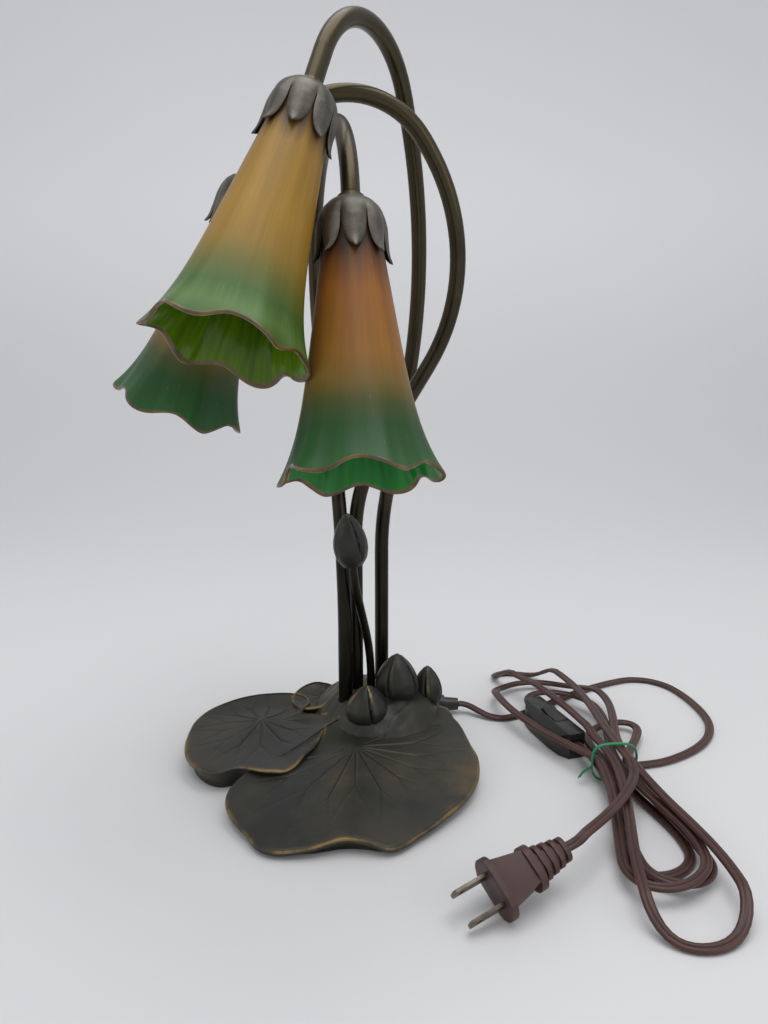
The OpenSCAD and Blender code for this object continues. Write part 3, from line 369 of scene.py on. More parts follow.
def vein_depth(pad, x, y):
    """1 on a pad's vein and 0 off it, for points beside its hub."""
    (hx, hy, _), radius, _, edge = pads[pad]
    deep = np.zeros(len(x))
    for angle, fork, left, right in veins[pad]:
        reach = radius * float(around(edge, [angle], 1)[0])
        a = math.radians(angle)
        start, knee = np.array((0.0, 0.0)), fork * reach * np.array((math.cos(a), math.sin(a)))
        runs = [(start, knee, 1.0)]
        for turn in (left, -right):
            b = math.radians(angle + turn * 1.25)
            runs.append((knee, 0.9 * reach * np.array((math.cos(b), math.sin(b))), 0.75))
        for p, q, size in runs:
            d = q - p
            share = np.clip(((x - hx - p[0]) * d[0] + (y - hy - p[1]) * d[1]) / (d @ d), 0, 1)
            away = np.hypot(x - hx - p[0] - share * d[0], y - hy - p[1] - share * d[1])
            width = 0.75 * size * (1.15 - 0.5 * share)
            deep = np.maximum(deep, size * np.exp(-(away / width) ** 2) * (1 - 0.5 * share * (size < 1)))
    return deep


def pad_top(pad, x, y):
    """Height of a pad's top and the share of its radius, at points of the plan."""
    hub, radius, _, edge = pads[pad]
    angle = np.degrees(np.arctan2(y - hub[1], x - hub[0]))
    share = np.hypot(x - hub[0], y - hub[1]) / (radius * around(edge, angle, 1))
    inner = np.clip(share, 0, 1)
    lip = around(edge, angle, 2)
    top = hub[2] - 2.2 * np.sin(math.pi * inner) + (lip - hub[2]) * inner ** 2.4
    return top, share


def tower(name, count, heights, shape):
    """A circle of edges is extruded upwards once for each further height, and every
    point of the tower then goes to its place: shape(angle, ring) gives x, y, z."""
    bpy.ops.mesh.primitive_circle_add(vertices=count, radius=1, fill_type="NOTHING")
    piece = bpy.context.object
    piece.name = piece.data.name = name
    bpy.ops.object.mode_set(mode="EDIT")
    bpy.ops.mesh.select_all(action="SELECT")
    for _ in range(heights - 1):
        bpy.ops.mesh.extrude_region_move(TRANSFORM_OT_translate={"value": (0, 0, 1)})
    bpy.ops.object.mode_set(mode="OBJECT")
    flat = np.zeros(len(piece.data.vertices) * 3)
    piece.data.vertices.foreach_get("co", flat)
    x, y, z = flat.reshape(-1, 3).T
    placed = shape(np.degrees(np.arctan2(y, x)), np.rint(z).astype(int))
    piece.data.vertices.foreach_set("co", np.stack(placed, 1).ravel())
    piece.data.update()
    return piece


def close_ends(piece):
    """Fills a tower's open ends with a fan each, and turns its faces outwards."""
    bpy.ops.object.mode_set(mode="EDIT")
    bpy.ops.mesh.select_mode(type="EDGE")
    bpy.ops.mesh.select_all(action="DESELECT")
    bpy.ops.mesh.select_non_manifold(extend=False, use_wire=False, use_multi_face=False,
                                     use_non_contiguous=False, use_verts=False)
    bpy.ops.mesh.edge_face_add()
    bpy.ops.mesh.select_mode(type="FACE")
    bpy.ops.mesh.poke()
    bpy.ops.mesh.select_mode(type="VERT")
    bpy.ops.mesh.select_all(action="SELECT")
    bpy.ops.mesh.normals_make_consistent(inside=False)
    bpy.ops.object.mode_set(mode="OBJECT")


def make_pad(pad):
    hub, radius, below, edge = pads[pad]
    # From the foot up the sloping wall, round the thin edge, and in over the top.
    wall = [(5, -below), (5, 0.25), (3.4, 0.6), (1.6, 0.85), (0.8, 1.0)]
    lip = [(0.15, 1.9), (0, 1.3), (0, 0.7), (0.25, 0.2), (0.8, -0.1), (1.5, -0.05)]
    shares = np.linspace(0.975, 0.012, 70 if radius > 60 else 46)
    rings = len(wall) + len(lip) + len(shares)

    def shape(angle, ring):
        reach = radius * around(edge, angle, 1)
        rim = around(edge, angle, 2)
        out, z = np.zeros(len(angle)), np.zeros(len(angle))
        for k in range(rings):
            on = ring == k
            if k < len(wall):
                inset, climb = wall[k]
                out[on] = reach[on] - inset
                z[on] = climb if k == 0 else (rim[on] - edge_t) * climb
            elif k < len(wall) + len(lip):
                inset, drop = lip[k - len(wall)]
                out[on] = reach[on] - inset
                z[on] = rim[on] - drop
            else:
                out[on] = reach[on] * shares[k - len(wall) - len(lip)]
        x = hub[0] + out * np.cos(np.radians(angle))
        y = hub[1] + out * np.sin(np.radians(angle))
        top, share = pad_top(pad, x, y)
        over = ring >= len(wall) + len(lip)
        z[over] = (top - 0.6 * vein_depth(pad, x, y) * np.clip(share * 9, 0, 1))[over]
        return x * mm, y * mm, z * mm

    piece = tower("pad", 360 if radius > 60 else 216 if radius > 30 else 96, rings, shape)
    close_ends(piece)
    return piece


def bud(name, width, height, petals, first, count, rings):
    """An ogive bud of overlapping petals, with a groove between each two."""
    marks = np.array([(0.3, 0), (0.44, 0.12), (0.5, 0.3), (0.49, 0.46), (0.42, 0.64), (0.3, 0.8),
                      (0.15, 0.93), (0.012, 1)])

    def outline(up):
        return np.interp(up, marks[:, 1], marks[:, 0])

    def shape(angle, ring):
        up = ring / (rings - 1)
        r = outline(up)
        soft = 0.5 * (outline(up - 0.05) + outline(up + 0.05))
        r = np.where(up > 0.93, r, 0.5 * r + 0.5 * soft) * width
        turn = ((angle - first + petal_twist * up) % (360 / petals)) / (360 / petals)
        away = np.minimum(turn, 1 - turn)
        shown = np.clip((up - 0.14) / 0.2, 0, 1) * np.clip((1 - up) / 0.06, 0, 1)
        groove = np.exp(-(away / 0.045) ** 2) * shown
        r = r * (1 - 0.11 * groove + 0.07 * (0.5 - turn) * shown)
        return (r * np.cos(np.radians(angle)) * mm, r * np.sin(np.radians(angle)) * mm, up * height * mm)

    piece = tower(name, count, rings, shape)
    close_ends(piece)
    return piece


def apply_boolean(piece, tool, operation):
    step = piece.modifiers.new("step", "BOOLEAN")
    step.operation, step.object, step.solver = operation, tool, "MANIFOLD"
    bpy.context.view_layer.objects.active = piece
    bpy.ops.object.modifier_apply(modifier="step")
    bpy.data.objects.remove(tool)


def drum(at, low, high, radius):
    bpy.ops.mesh.primitive_cylinder_add(vertices=96, radius=radius * mm, depth=(high - low) * mm,
                                        location=(at[0] * mm, at[1] * mm, (low + high) / 2 * mm))
    bpy.ops.object.transform_apply(location=True, rotation=True, scale=True)
    return bpy.context.object


def mound_shape(angle, ring):
    marks = np.array([(0.3, mound_h)] + mound_profile)
    down = ring / mound_rings
    r = np.interp(down, np.linspace(0, 1, len(marks)), marks[:, 0])
    z = np.interp(down, np.linspace(0, 1, len(marks)), marks[:, 1])
    x, y = mound_at[0] + r * np.cos(np.radians(angle)), mound_at[1] + r * np.sin(np.radians(angle))
    dimples = 0.5 + 0.5 * np.sin(x * 0.31 + 1.3) * np.cos(y * 0.27) + 0.3 * np.sin(x * 0.8 - y * 0.6)
    z = z - dimples * (z > 0)
    return x * mm, y * mm, z * mm


base = tower("base_casting_shown", 180, mound_rings + 1, mound_shape)
close_ends(base)
for k in range(len(pads)):
    apply_boolean(base, make_pad(k), "UNION")
for x, y, foot, width, height, first in low_buds:
    piece = bud("low_bud", width, height, low_petals, first, 120, 60)
    piece.data.transform(Matrix.Translation((x * mm, y * mm, foot * mm)))
    apply_boolean(base, piece, "UNION")
cord_bore, boss_r, exit_y, exit_z = 4.5, 5.9, 65.5, 6


def along_x(tool, x):
    """Lays an upright tool along the cord's way out of the base, from x on."""
    place = Matrix.Translation((x * mm, exit_y * mm, exit_z * mm))
    tool.data.transform(place @ Matrix.Rotation(math.pi / 2, 4, "Y"))
    return tool


apply_boolean(base, along_x(drum((0, 0), 0, 14, boss_r), 56), "UNION")
bpy.ops.object.mode_set(mode="EDIT")
bpy.ops.mesh.select_all(action="SELECT")
bpy.ops.mesh.bisect(plane_co=(0, 0, 0), plane_no=(0, 0, 1), use_fill=True, clear_inner=True)
bpy.ops.object.mode_set(mode="OBJECT")
arm_at, bud_foot = [(10, 31.5), (31.5, 59), (16, 44)], (25, 42)
arm_hole_r, stem_hole_r = 4.55, 2.5
cavities = [((17.5, -8), -1, 4.2, 56.1), ((-39.6, 23.4), -1, 5.2, 23.7), (mound_at, -1, 9, 40),
            (mound_at, 5, 20, 30.5)]
holes = [(at, 15, 60, arm_hole_r) for at in arm_at] + [(bud_foot, 15, 60, stem_hole_r)]
for cut in cavities + holes:
    apply_boolean(base, drum(*cut), "DIFFERENCE")
apply_boolean(base, along_x(drum((0, 0), -4, 18, cord_bore), 54), "DIFFERENCE")
bpy.ops.object.select_all(action="DESELECT")
base.select_set(True)
bpy.context.view_layer.objects.active = base
bpy.ops.object.shade_smooth_by_angle(angle=math.radians(38))
for v in base.data.vertices:
    v.co.z = max(0.0, v.co.z)
spots = np.array([v.co for v in base.data.vertices]) / mm
facing = np.array([v.normal for v in base.data.vertices])
carved, rubbed = np.zeros(len(spots)), np.zeros(len(spots))
for k, (hub, radius, _, _) in enumerate(pads):
    top, share = pad_top(k, spots[:, 0], spots[:, 1])
    on = (np.abs(spots[:, 2] - top) < 1.6) & (share < 1.02) & (facing[:, 2] > 0)
    carved = np.maximum(carved, on * vein_depth(k, spots[:, 0], spots[:, 1]) * np.clip(share * 9, 0, 1))
    near_edge = np.exp(-((1 - share) * radius / 1.3) ** 2)
    rubbed = np.maximum(rubbed, on * near_edge + 0.22 * on * np.exp(-((1 - share) * radius / 7.0) ** 2))
for x, y, foot, width, height, first in low_buds:
    out = np.hypot(spots[:, 0] - x, spots[:, 1] - y)
    up = (spots[:, 2] - foot) / height
    on = (out < width * 0.56) & (up > 0.2)
    pitch = 360 / low_petals
    angle = np.degrees(np.arctan2(spots[:, 1] - y, spots[:, 0] - x))
    turn = ((angle - first + petal_twist * up) % pitch) / pitch
    away = np.minimum(turn, 1 - turn)
    crown = np.exp(-((turn - 0.14) / 0.09) ** 2) * np.clip(up * 1.4, 0, 1)
    rubbed = np.maximum(rubbed, on * (1.5 * crown + 0.4 * np.clip((up - 0.8) * 5, 0, 1)))
    carved = np.maximum(carved, on * np.exp(-(away / 0.05) ** 2) * np.clip((up - 0.2) * 4, 0, 1))


def paint(piece, name, values):
    painted = piece.data.attributes.new(name, "FLOAT", "POINT")
    painted.data.foreach_set("value", np.asarray(values, np.float32))


paint(base, "carved", carved)
paint(base, "rubbed", rubbed)


def patina(w, place, rub, cut, dark, warm, gold):
    """Antique bronze: a dark film over gold, thin where it is rubbed."""
    cloud = w.noise(place, 34, 4, 0.6)
    fine = w.noise(place, 900, 3, 0.65)
    bare = w.noise(place, 17, 5, 0.6)
    patch = w.noise(place, 48, 4, 0.6).between(0.38, 0.66)
    base_colour = cloud.between(0.36, 0.68).mix(dark, warm)
    thin = bare.between(0.52, 0.74) * 0.34 + rub * (0.16 + 0.72 * patch)
    lit = (thin * (0.75 + 0.5 * fine)).between(0.05, 0.95)
    colour = lit.mix(base_colour, gold)
    shadow = cut.between(0.2, 0.95) * 0.8
    colour = shadow.mix(colour, tuple(0.4 * c for c in dark))
    rough = 0.35 + 0.16 * cloud - 0.06 * lit
    return colour, rough, fine, lit


def cast_sockets(w):
    colour, rough, fine, lit = patina(w, w.place(), w.painted("rubbed"), w.painted("carved"),
                                      (0.027, 0.028, 0.024), (0.050, 0.045, 0.032), (0.25, 0.17, 0.070))
    pits = w.noise(w.place(), 420, 4, 0.6)
    return {"Base Color": colour, "Roughness": rough, "Metallic": 0.5 + 0.3 * lit,
            "Normal": w.bump(pits * 0.6 + fine * 0.4, 0.35, 0.0004)}


bronze_cast = finish_of("bronze_cast", cast_sockets)
wear(base, bronze_cast)
hand_over(base, "bronze_cast", ["base_casting"])


def felt_sockets(w):
    fuzz = w.noise(w.place(), 1500, 4, 0.7)
    return {"Base Color": fuzz.mix((0.022, 0.016, 0.011), (0.05, 0.038, 0.027)),
            "Roughness": 0.9 + 0.1 * fuzz, "Normal": w.bump(fuzz, 0.6, 0.0004)}


wear(nodes["base_felt"], finish_of("felt_brown", felt_sockets))


# ---- Arm tubes and bud stem ----
# Bent brass tube with the same patina, drawn lengthways, so that its film is
# streaked along it. Higher up it is painted lighter and goldish as a painted
# highlight, and near the foot it is painted near black as painted shade.

def tube_sockets(w):
    place = w.place()
    streak = w.noise(w.node("Mapping", {"Vector": place, "Scale": (1, 1, 0.12)}), 420, 3, 0.6)
    cloud = w.noise(place, 26, 3)
    # Painted light: the higher the tube stands, the lighter it is painted.
    up = w.node("SeparateXYZ", {0: place}, out="Z").between(0.02, 0.36)
    # The film mask holds the painted top light as well as the patina's clouds and streaks.
    film = (cloud * 0.45 + streak * 0.25 + up * 0.3).between(0.3, 0.66)
    colour = film.mix((0.014, 0.013, 0.009), (0.066, 0.053, 0.030))
    return {"Base Color": colour, "Roughness": 0.24 + 0.12 * streak, "Metallic": 0.82,
            "Normal": w.bump(streak, 0.08, 0.0002)}


bronze_tube = finish_of("bronze_tube", tube_sockets)
for name in ("arm_tube_front", "arm_tube_tall", "arm_tube_back", "bud_stem"):
    wear(nodes[name], bronze_tube)

# Each arm: its foot, the turn of its shade, straight end, and its bends as
# (straight before, roll, radius, angle), all as the tubes are bent, in mm and degrees.
tube_start = 12
arms = {"front": (arm_at[0], 52, 4, [(54, 107, 259, 33), (8, 175, 80, 127), (4, -5, 63, 67)]),
        "tall": (arm_at[1], 57, 20.5, [(99, 1, 189, 10.5), (64, 232, 234, 37.5), (4, 10, 42, 121.5)]),
        "back": (arm_at[2], 12, 12, [(112, -15, 99, 31.5), (55, 205, 103, 64), (4, 6, 45, 123)])}


def at_end(foot, low, bends, last):
    """The frame at the end of a bent tube, its +Z along the tube."""
    frame_there = Matrix.Translation((*foot, low))
    for straight, roll, radius, angle in bends:
        a = math.radians(angle)
        frame_there = (frame_there @ Matrix.Translation((0, 0, straight))
                       @ Matrix.Rotation(math.radians(roll), 4, "Z")
                       @ Matrix.Translation((radius * (1 - math.cos(a)), 0, radius * math.sin(a)))
                       @ Matrix.Rotation(a, 4, "Y"))
    return frame_there @ Matrix.Translation((0, 0, last))


def in_metres(matrix):
    return Matrix.Translation(matrix.to_translation() * mm) @ matrix.to_3x3().to_4x4()


caps = {}
for arm, (foot, turn, last, bends) in arms.items():
    caps[arm] = in_metres(at_end(foot, tube_start, bends, last) @ Matrix.Rotation(math.radians(turn), 4, "Z"))


# ---- Tall bud ----
# Cast closed bud, pushed on to the end of its own thin stem. It wears the base's
# patina, with nothing rubbed or carved.

tall_bud = bud("tall_bud_shown", 20, 31, 4, 250, 120, 60)
tall_bud.data.transform(in_metres(at_end(bud_foot, 20, [(13, 243, 90, 22), (26, 180, 80, 11)], 6)))
for name in ("carved", "rubbed"):
    paint(tall_bud, name, np.zeros(len(tall_bud.data.vertices)))
bpy.ops.object.select_all(action="DESELECT")
tall_bud.select_set(True)
bpy.context.view_layer.objects.active = tall_bud
bpy.ops.object.shade_smooth_by_angle(angle=math.radians(45))
wear(tall_bud, bronze_cast)
hand_over(tall_bud, "bronze_cast", ["tall_bud"])


# ---- Petal caps ----
# Each cap is stamped from one sheet: a dome, slit into eight petals that are
# each domed across, with pointed tips that flick outwards.

cap_h, petals = 27, 8
cap_hole, flat_to, flat_share, slit_top = 4.35, 6.6, 0.12, 9.0
# (radius, distance down) over the cap, 29 mm across at its widest
cap_profile = np.array([(cap_hole, 0), (flat_to, 0), (9.28, 0.81), (12.18, 3.24), (13.86, 6.75),
                        (14.5, 11.6), (14.65, 18.36), (14.94, 23.2), (15.95, cap_h)])


def cap_radius(z):
    return np.interp(z, cap_profile[1:, 1], cap_profile[1:, 0])


def petal_place(across, down):
    """Across runs from -1 to 1 over a petal, down from 0 at the tube to 1 at the tip."""
    z = np.where(down < flat_share, 0.0, (down - flat_share) / (1 - flat_share) * cap_h)
    ease = 0.5 * cap_radius(np.clip(z - 1.2, 0, cap_h)) + 0.5 * cap_radius(np.clip(z + 1.2, 0, cap_h))
    r = np.where(down < flat_share, cap_hole + (flat_to - cap_hole) * down / flat_share, ease)
    free = np.clip((z - slit_top) / (cap_h - slit_top), 0, 1)
    tapered = 0.955 * (1 - free ** 2.8) ** 0.75 + 0.045 * np.clip(1 - free * 12, 0, 1) + 0.01
    wide = np.where(z < slit_top, 1.0, tapered)
    angle = across * wide * math.pi / petals
    bulge = 0.9 * (1 - across ** 2) * np.clip((z - 4) / 8, 0, 1)
    dip, flick = np.clip((z - 6) / 5, 0, 1) * across ** 2, np.clip((z - 23) / 4, 0, 1) ** 2
    r = r + bulge - 0.45 * dip + 0.5 * flick
    return r, angle, z + 0.35 * (1 - across ** 2) * free


def petal_cap(arm):
    bpy.ops.mesh.primitive_grid_add(x_subdivisions=16, y_subdivisions=48, size=2)
    piece = bpy.context.object
    piece.name = piece.data.name = "petal_cap_" + arm + "_shown"
    for v in piece.data.vertices:
        r, angle, z = petal_place(v.co.x, (v.co.y + 1) / 2)
        v.co = (r * math.cos(angle) * mm, r * math.sin(angle) * mm, z * mm)
    bpy.ops.object.mode_set(mode="EDIT")
    bpy.ops.mesh.select_all(action="SELECT")
    for _ in range(petals - 1):
        bpy.ops.mesh.duplicate()
        bpy.ops.transform.rotate(value=-2 * math.pi / petals, orient_axis="Z", center_override=(0, 0, 0))
    bpy.ops.mesh.select_all(action="SELECT")
    bpy.ops.mesh.remove_doubles(threshold=0.00005)
    bpy.ops.mesh.normals_make_consistent(inside=False)
    bpy.ops.object.mode_set(mode="OBJECT")
    sheet = piece.modifiers.new("sheet", "SOLIDIFY")
    sheet.thickness, sheet.offset = 0.8 * mm, -1
    bpy.ops.object.modifier_apply(modifier="sheet")
    edge = piece.modifiers.new("edge", "BEVEL")
    edge.width, edge.segments, edge.limit_method = 0.25 * mm, 2, "ANGLE"
    bpy.ops.object.modifier_apply(modifier="edge")
    bpy.ops.object.shade_smooth_by_angle(angle=math.radians(50))
    piece.data.transform(caps[arm])
    return piece


def sheet_sockets(w):
    place = w.place()
    cloud = w.noise(place, 60, 4, 0.6)
    fine = w.noise(place, 1500, 3, 0.6)
    tint = (cloud * 0.75 + fine * 0.25).between(0.34, 0.7)
    return {"Base Color": tint.mix((0.066, 0.062, 0.053), (0.165, 0.150, 0.122)),
            "Roughness": 0.33 + 0.16 * cloud, "Metallic": 0.72,
            "Normal": w.bump(cloud * 0.5 + fine * 0.5, 0.12, 0.0003)}


bronze_sheet = finish_of("bronze_sheet", sheet_sockets)
for arm in arms:
    piece = petal_cap(arm)
    wear(piece, bronze_sheet)
    hand_over(piece, "bronze_sheet", ["petal_cap_" + arm])


# ---- Glass shades ----
# Blown trumpet shades with a ruffled rim, frosted outside and stained from a warm top
# to a green mouth; the top under the petal cap is painted dark as painted shade.
# Inside, the glass is green, painted bright partly as painted light shining through it,
# and painted lighter towards the mouth. The ground rim shows the brown of the glass's core.

glass_t, ruffles = 2.0, 6
ruffle_r, ruffle_z = 2.6, 2.4
neck_r, mouth_r = 13.0, 32.4
lid_z, mouth_z = 1.8, 118.6
glass_hole, lip_round, lip_fall, rim_band = 4.55, 0.25, 0.35, 0.7


def bell(t):
    return (neck_r * (1 - 0.38 * (1 - np.minimum(1, t / 0.14)) ** 3)
            + (mouth_r - neck_r) * (0.7 * np.maximum(0, t - 0.16) / 0.84 + 0.3 * t ** 8))


def glass_place(angle, t, inset, low):
    wave = t ** 9
    a = np.radians(angle)
    lobe = (np.cos(ruffles * a) + 0.3 * np.cos(2 * ruffles * a)) / 1.3
    r = bell(t) - inset + ruffle_r * t ** 6.5 * lobe
    z = np.maximum(low, lid_z + t * (mouth_z - lid_z))
    z = z + ruffle_z * wave * np.cos(ruffles * a + math.radians(60))
    return r * np.cos(a) * mm, r * np.sin(a) * mm, z * mm


def glass_shade(arm):
    down = [0, 0.008, 0.02, *np.linspace(0.04, 0.8, 34), *np.linspace(0.815, 1.0, 22)]
    count = len(down)

    def shape(angle, ring):
        parts = [np.zeros(len(angle)) for _ in range(3)]
        for k in range(2 * count + 4):
            on = ring == k
            if k == 0 or k == 2 * count + 3:
                z = (lid_z if k == 0 else lid_z + glass_t) * mm
                a = np.radians(angle)
                spot = glass_hole * mm * np.cos(a), glass_hole * mm * np.sin(a), z
            elif k <= count:
                spot = glass_place(angle, down[k - 1], lip_round if k == count else 0, lid_z)
            elif k <= count + 2:
                spot = glass_place(angle, 1.0, (0.6, 1.4)[k - count - 1], lid_z)
                spot = (spot[0], spot[1], spot[2] + lip_fall * mm)
            else:
                t = down[2 * count + 2 - k]
                spot = glass_place(angle, t, glass_t - (lip_round if t == 1 else 0), lid_z + glass_t)
            for part, value in zip(parts, spot):
                part[on] = value[on] if isinstance(value, np.ndarray) else value
        return parts

    piece = tower("shade_" + arm + "_shown", 216, 2 * count + 4, shape)
    bpy.ops.object.mode_set(mode="EDIT")
    bpy.ops.mesh.select_mode(type="EDGE")
    bpy.ops.mesh.select_all(action="DESELECT")
    bpy.ops.mesh.select_non_manifold(extend=False, use_wire=False, use_multi_face=False,
                                     use_non_contiguous=False, use_verts=False)
    bpy.ops.mesh.bridge_edge_loops()
    bpy.ops.mesh.select_mode(type="VERT")
    bpy.ops.mesh.select_all(action="SELECT")
    bpy.ops.mesh.normals_make_consistent(inside=False)
    bpy.ops.object.mode_set(mode="OBJECT")
    spots = np.array([v.co for v in piece.data.vertices]) / mm
    a = np.degrees(np.arctan2(spots[:, 1], spots[:, 0]))
    t = np.clip((spots[:, 2] - lid_z) / (mouth_z - lid_z), 0, 1)
    flow = piece.data.attributes.new("flow", "FLOAT_VECTOR", "POINT")
    way = np.stack([np.cos(np.radians(a)), np.sin(np.radians(a)), t], 1)
    flow.data.foreach_set("vector", way.astype(np.float32).ravel())
    # Slots: 0 outside, 1 inside, 2 the ground rim and a narrow band beside it.
    for face in piece.data.polygons:
        middle, normal = face.center / mm, face.normal
        _, _, rim_z = glass_place(math.degrees(math.atan2(middle.y, middle.x)), 1.0, 0, lid_z)
        if middle.z > rim_z / mm - rim_band:
            face.material_index = 2
        elif normal.x * middle.x + normal.y * middle.y < 0 and middle.z > lid_z + 3:
            face.material_index = 1
    piece.data.shade_smooth()
    piece.data.transform(caps[arm])
    return piece


def glass_sockets(stops):
    def sockets(w):
        flow = w.painted("flow", "Vector")
        split = w.node("SeparateXYZ", {0: flow}, out="Z")
        wide = w.noise(w.node("Mapping", {"Vector": flow, "Scale": (1, 1, 0.55)}), 2.6, 3, 0.55)
        streak = w.noise(w.node("Mapping", {"Vector": flow, "Scale": (1, 1, 0.16)}), 15, 4, 0.6)
        along = split + (wide - 0.5) * 0.11 + (streak - 0.5) * 0.035
        colour = w.node("ValToRGB", {"Fac": along}, out="Color", stops=stops)
        shade = (streak * 0.4 + wide * 0.6).between(0.32, 0.68)
        tint = w.node("Mix", {0: 0.35, 6: colour, 7: shade.mix((0.6, 0.56, 0.52), (1.3, 1.28, 1.2))},
                      out=2, data_type="RGBA", blend_type="MULTIPLY")
        specks = w.noise(w.node("Mapping", {"Vector": flow, "Scale": (1, 1, 0.4)}), 44, 2)
        lit = specks.between(0.74, 0.8) * 0.3
        return {"Base Color": lit.mix(tint, (0.45, 0.40, 0.26)), "Roughness": 0.36 + 0.12 * wide,
                "Normal": w.bump(wide * 0.6 + streak * 0.3 + specks * 0.1, 0.12, 0.0008)}
    return sockets


def inner_sockets(deep, bright):
    def sockets(w):
        flow = w.painted("flow", "Vector")
        split = w.node("SeparateXYZ", {0: flow}, out="Z")
        streak = w.noise(w.node("Mapping", {"Vector": flow, "Scale": (1, 1, 0.35)}), 9, 4, 0.6)
        # Painted light: the inside is painted lighter towards the mouth, where more light falls in.
        streaks_and_painted_mouth_light = (streak.between(0.3, 0.72) * 0.65 + split.between(0.7, 1.0) * 0.35)
        return {"Base Color": streaks_and_painted_mouth_light.mix(deep, bright), "Roughness": 0.12 + 0.1 * streak,
                "Normal": w.bump(streak, 0.25, 0.0008)}
    return sockets


def rim_sockets(colour, gold):
    def sockets(w):
        cloud = w.noise(w.place(), 160, 3)
        return {"Base Color": cloud.between(0.35, 0.7).mix(colour, gold), "Roughness": 0.3 + 0.1 * cloud}
    return sockets


# Colours down the outside, as (share of the way from the neck to the rim, colour).
# The dark stops up to 0.19 are painted shade under the petal cap.
orange = [(0.0, (0.018, 0.008, 0.005)), (0.19, (0.035, 0.013, 0.006)), (0.27, (0.14, 0.050, 0.012)),
          (0.37, (0.25, 0.095, 0.015)), (0.6, (0.25, 0.110, 0.016)), (0.7, (0.16, 0.098, 0.018)),
          (0.78, (0.050, 0.066, 0.013)), (0.86, (0.014, 0.062, 0.013)), (0.94, (0.015, 0.074, 0.017)),
          (1.0, (0.022, 0.092, 0.022))]
golden = [(0.0, (0.04, 0.024, 0.010)), (0.19, (0.09, 0.050, 0.014)), (0.28, (0.29, 0.160, 0.025)),
          (0.55, (0.34, 0.190, 0.024)), (0.69, (0.28, 0.172, 0.026)), (0.79, (0.13, 0.135, 0.022)),
          (0.87, (0.050, 0.120, 0.018)), (0.95, (0.085, 0.170, 0.034)), (1.0, (0.05, 0.12, 0.020))]
rim_brown = finish_of("rim_brown", rim_sockets((0.075, 0.042, 0.012), (0.16, 0.095, 0.02)), Coat_Weight=0.3)
glass_outer = {"front": finish_of("glass_orange_green", glass_sockets(orange), Specular_IOR_Level=0.28),
               "tall": finish_of("glass_gold_green", glass_sockets(golden), Specular_IOR_Level=0.28)}
glass_outer["back"] = glass_outer["front"]
inner_green = inner_sockets((0.002, 0.09, 0.008), (0.008, 0.26, 0.024))
inner_lime = inner_sockets((0.035, 0.09, 0.002), (0.13, 0.25, 0.006))
glass_inner = {"front": finish_of("glass_inside_green", inner_green, Specular_IOR_Level=0.3),
               "tall": finish_of("glass_inside_lime", inner_lime, Specular_IOR_Level=0.3)}
glass_inner["back"] = glass_inner["front"]
for arm in arms:
    piece = glass_shade(arm)
    wear(piece, glass_outer[arm], glass_inner[arm], rim_brown)
    hand_over(piece, "glass_gold_green" if arm == "tall" else "glass_orange_green", ["shade_" + arm])


# ---- Small metal and plastic parts ----
# Rings, sockets, bulbs, wires, nuts and washers have their full shape as solids,
# so they only get a finish.

def plain_metal(dark, light, rough, scale):
    def sockets(w):
        cloud = w.noise(w.place(), scale, 4, 0.6)
        return {"Base Color": cloud.between(0.3, 0.7).mix(dark, light), "Roughness": rough + 0.15 * cloud,
                "Metallic": 0.9, "Normal": w.bump(cloud, 0.06, 0.0002)}
    return sockets


def plain_plastic(dark, light, rough, scale):
    def sockets(w):
        grain = w.noise(w.place(), scale, 3, 0.6)
        return {"Base Color": grain.mix(dark, light), "Roughness": rough + 0.12 * grain,
                "Normal": w.bump(grain, 0.15, 0.0002)}
    return sockets


brass = finish_of("brass", plain_metal((0.16, 0.10, 0.035), (0.42, 0.29, 0.12), 0.24, 300))
steel = finish_of("steel", plain_metal((0.30, 0.30, 0.29), (0.55, 0.55, 0.53), 0.25, 500))
ring_brass = finish_of("brass_dark", plain_metal((0.06, 0.048, 0.030), (0.22, 0.165, 0.09), 0.26, 300))
fibre = finish_of("fibre", plain_plastic((0.12, 0.085, 0.05), (0.2, 0.15, 0.09), 0.75, 900))
black = finish_of("black_plastic", plain_plastic((0.006, 0.006, 0.006), (0.016, 0.016, 0.015), 0.3, 1800))
grey = finish_of("joint_cap_grey", plain_plastic((0.1, 0.095, 0.085), (0.16, 0.15, 0.135), 0.6, 900))
bulb_sockets = plain_plastic((0.62, 0.60, 0.54), (0.72, 0.70, 0.64), 0.32, 120)
bulb_white = finish_of("bulb_glass", bulb_sockets, Coat_Weight=0.3)
for material, names in ((brass, "socket_screw_shells socket_contacts switch_contacts"),
                        (steel, "arm_washers arm_nuts bulb_bases switch_pin"),
                        (fibre, "shade_washers"), (grey, "wire_joint_cap"), (black, "cord_bushing")):
    for name in names.split():
        wear(nodes[name], material)
for arm in arms:
    wear(nodes["lock_ring_" + arm], ring_brass)
    wear(nodes["socket_" + arm], black)
    wear(nodes["arm_wires_" + arm], black)
    wear(nodes["bulb_" + arm], bulb_white)


# ---- In-line switch ----
# Two black moulded shells that clamp the cord, and a rocker in the upper one.
# Their edges are rounded as a mould leaves them.

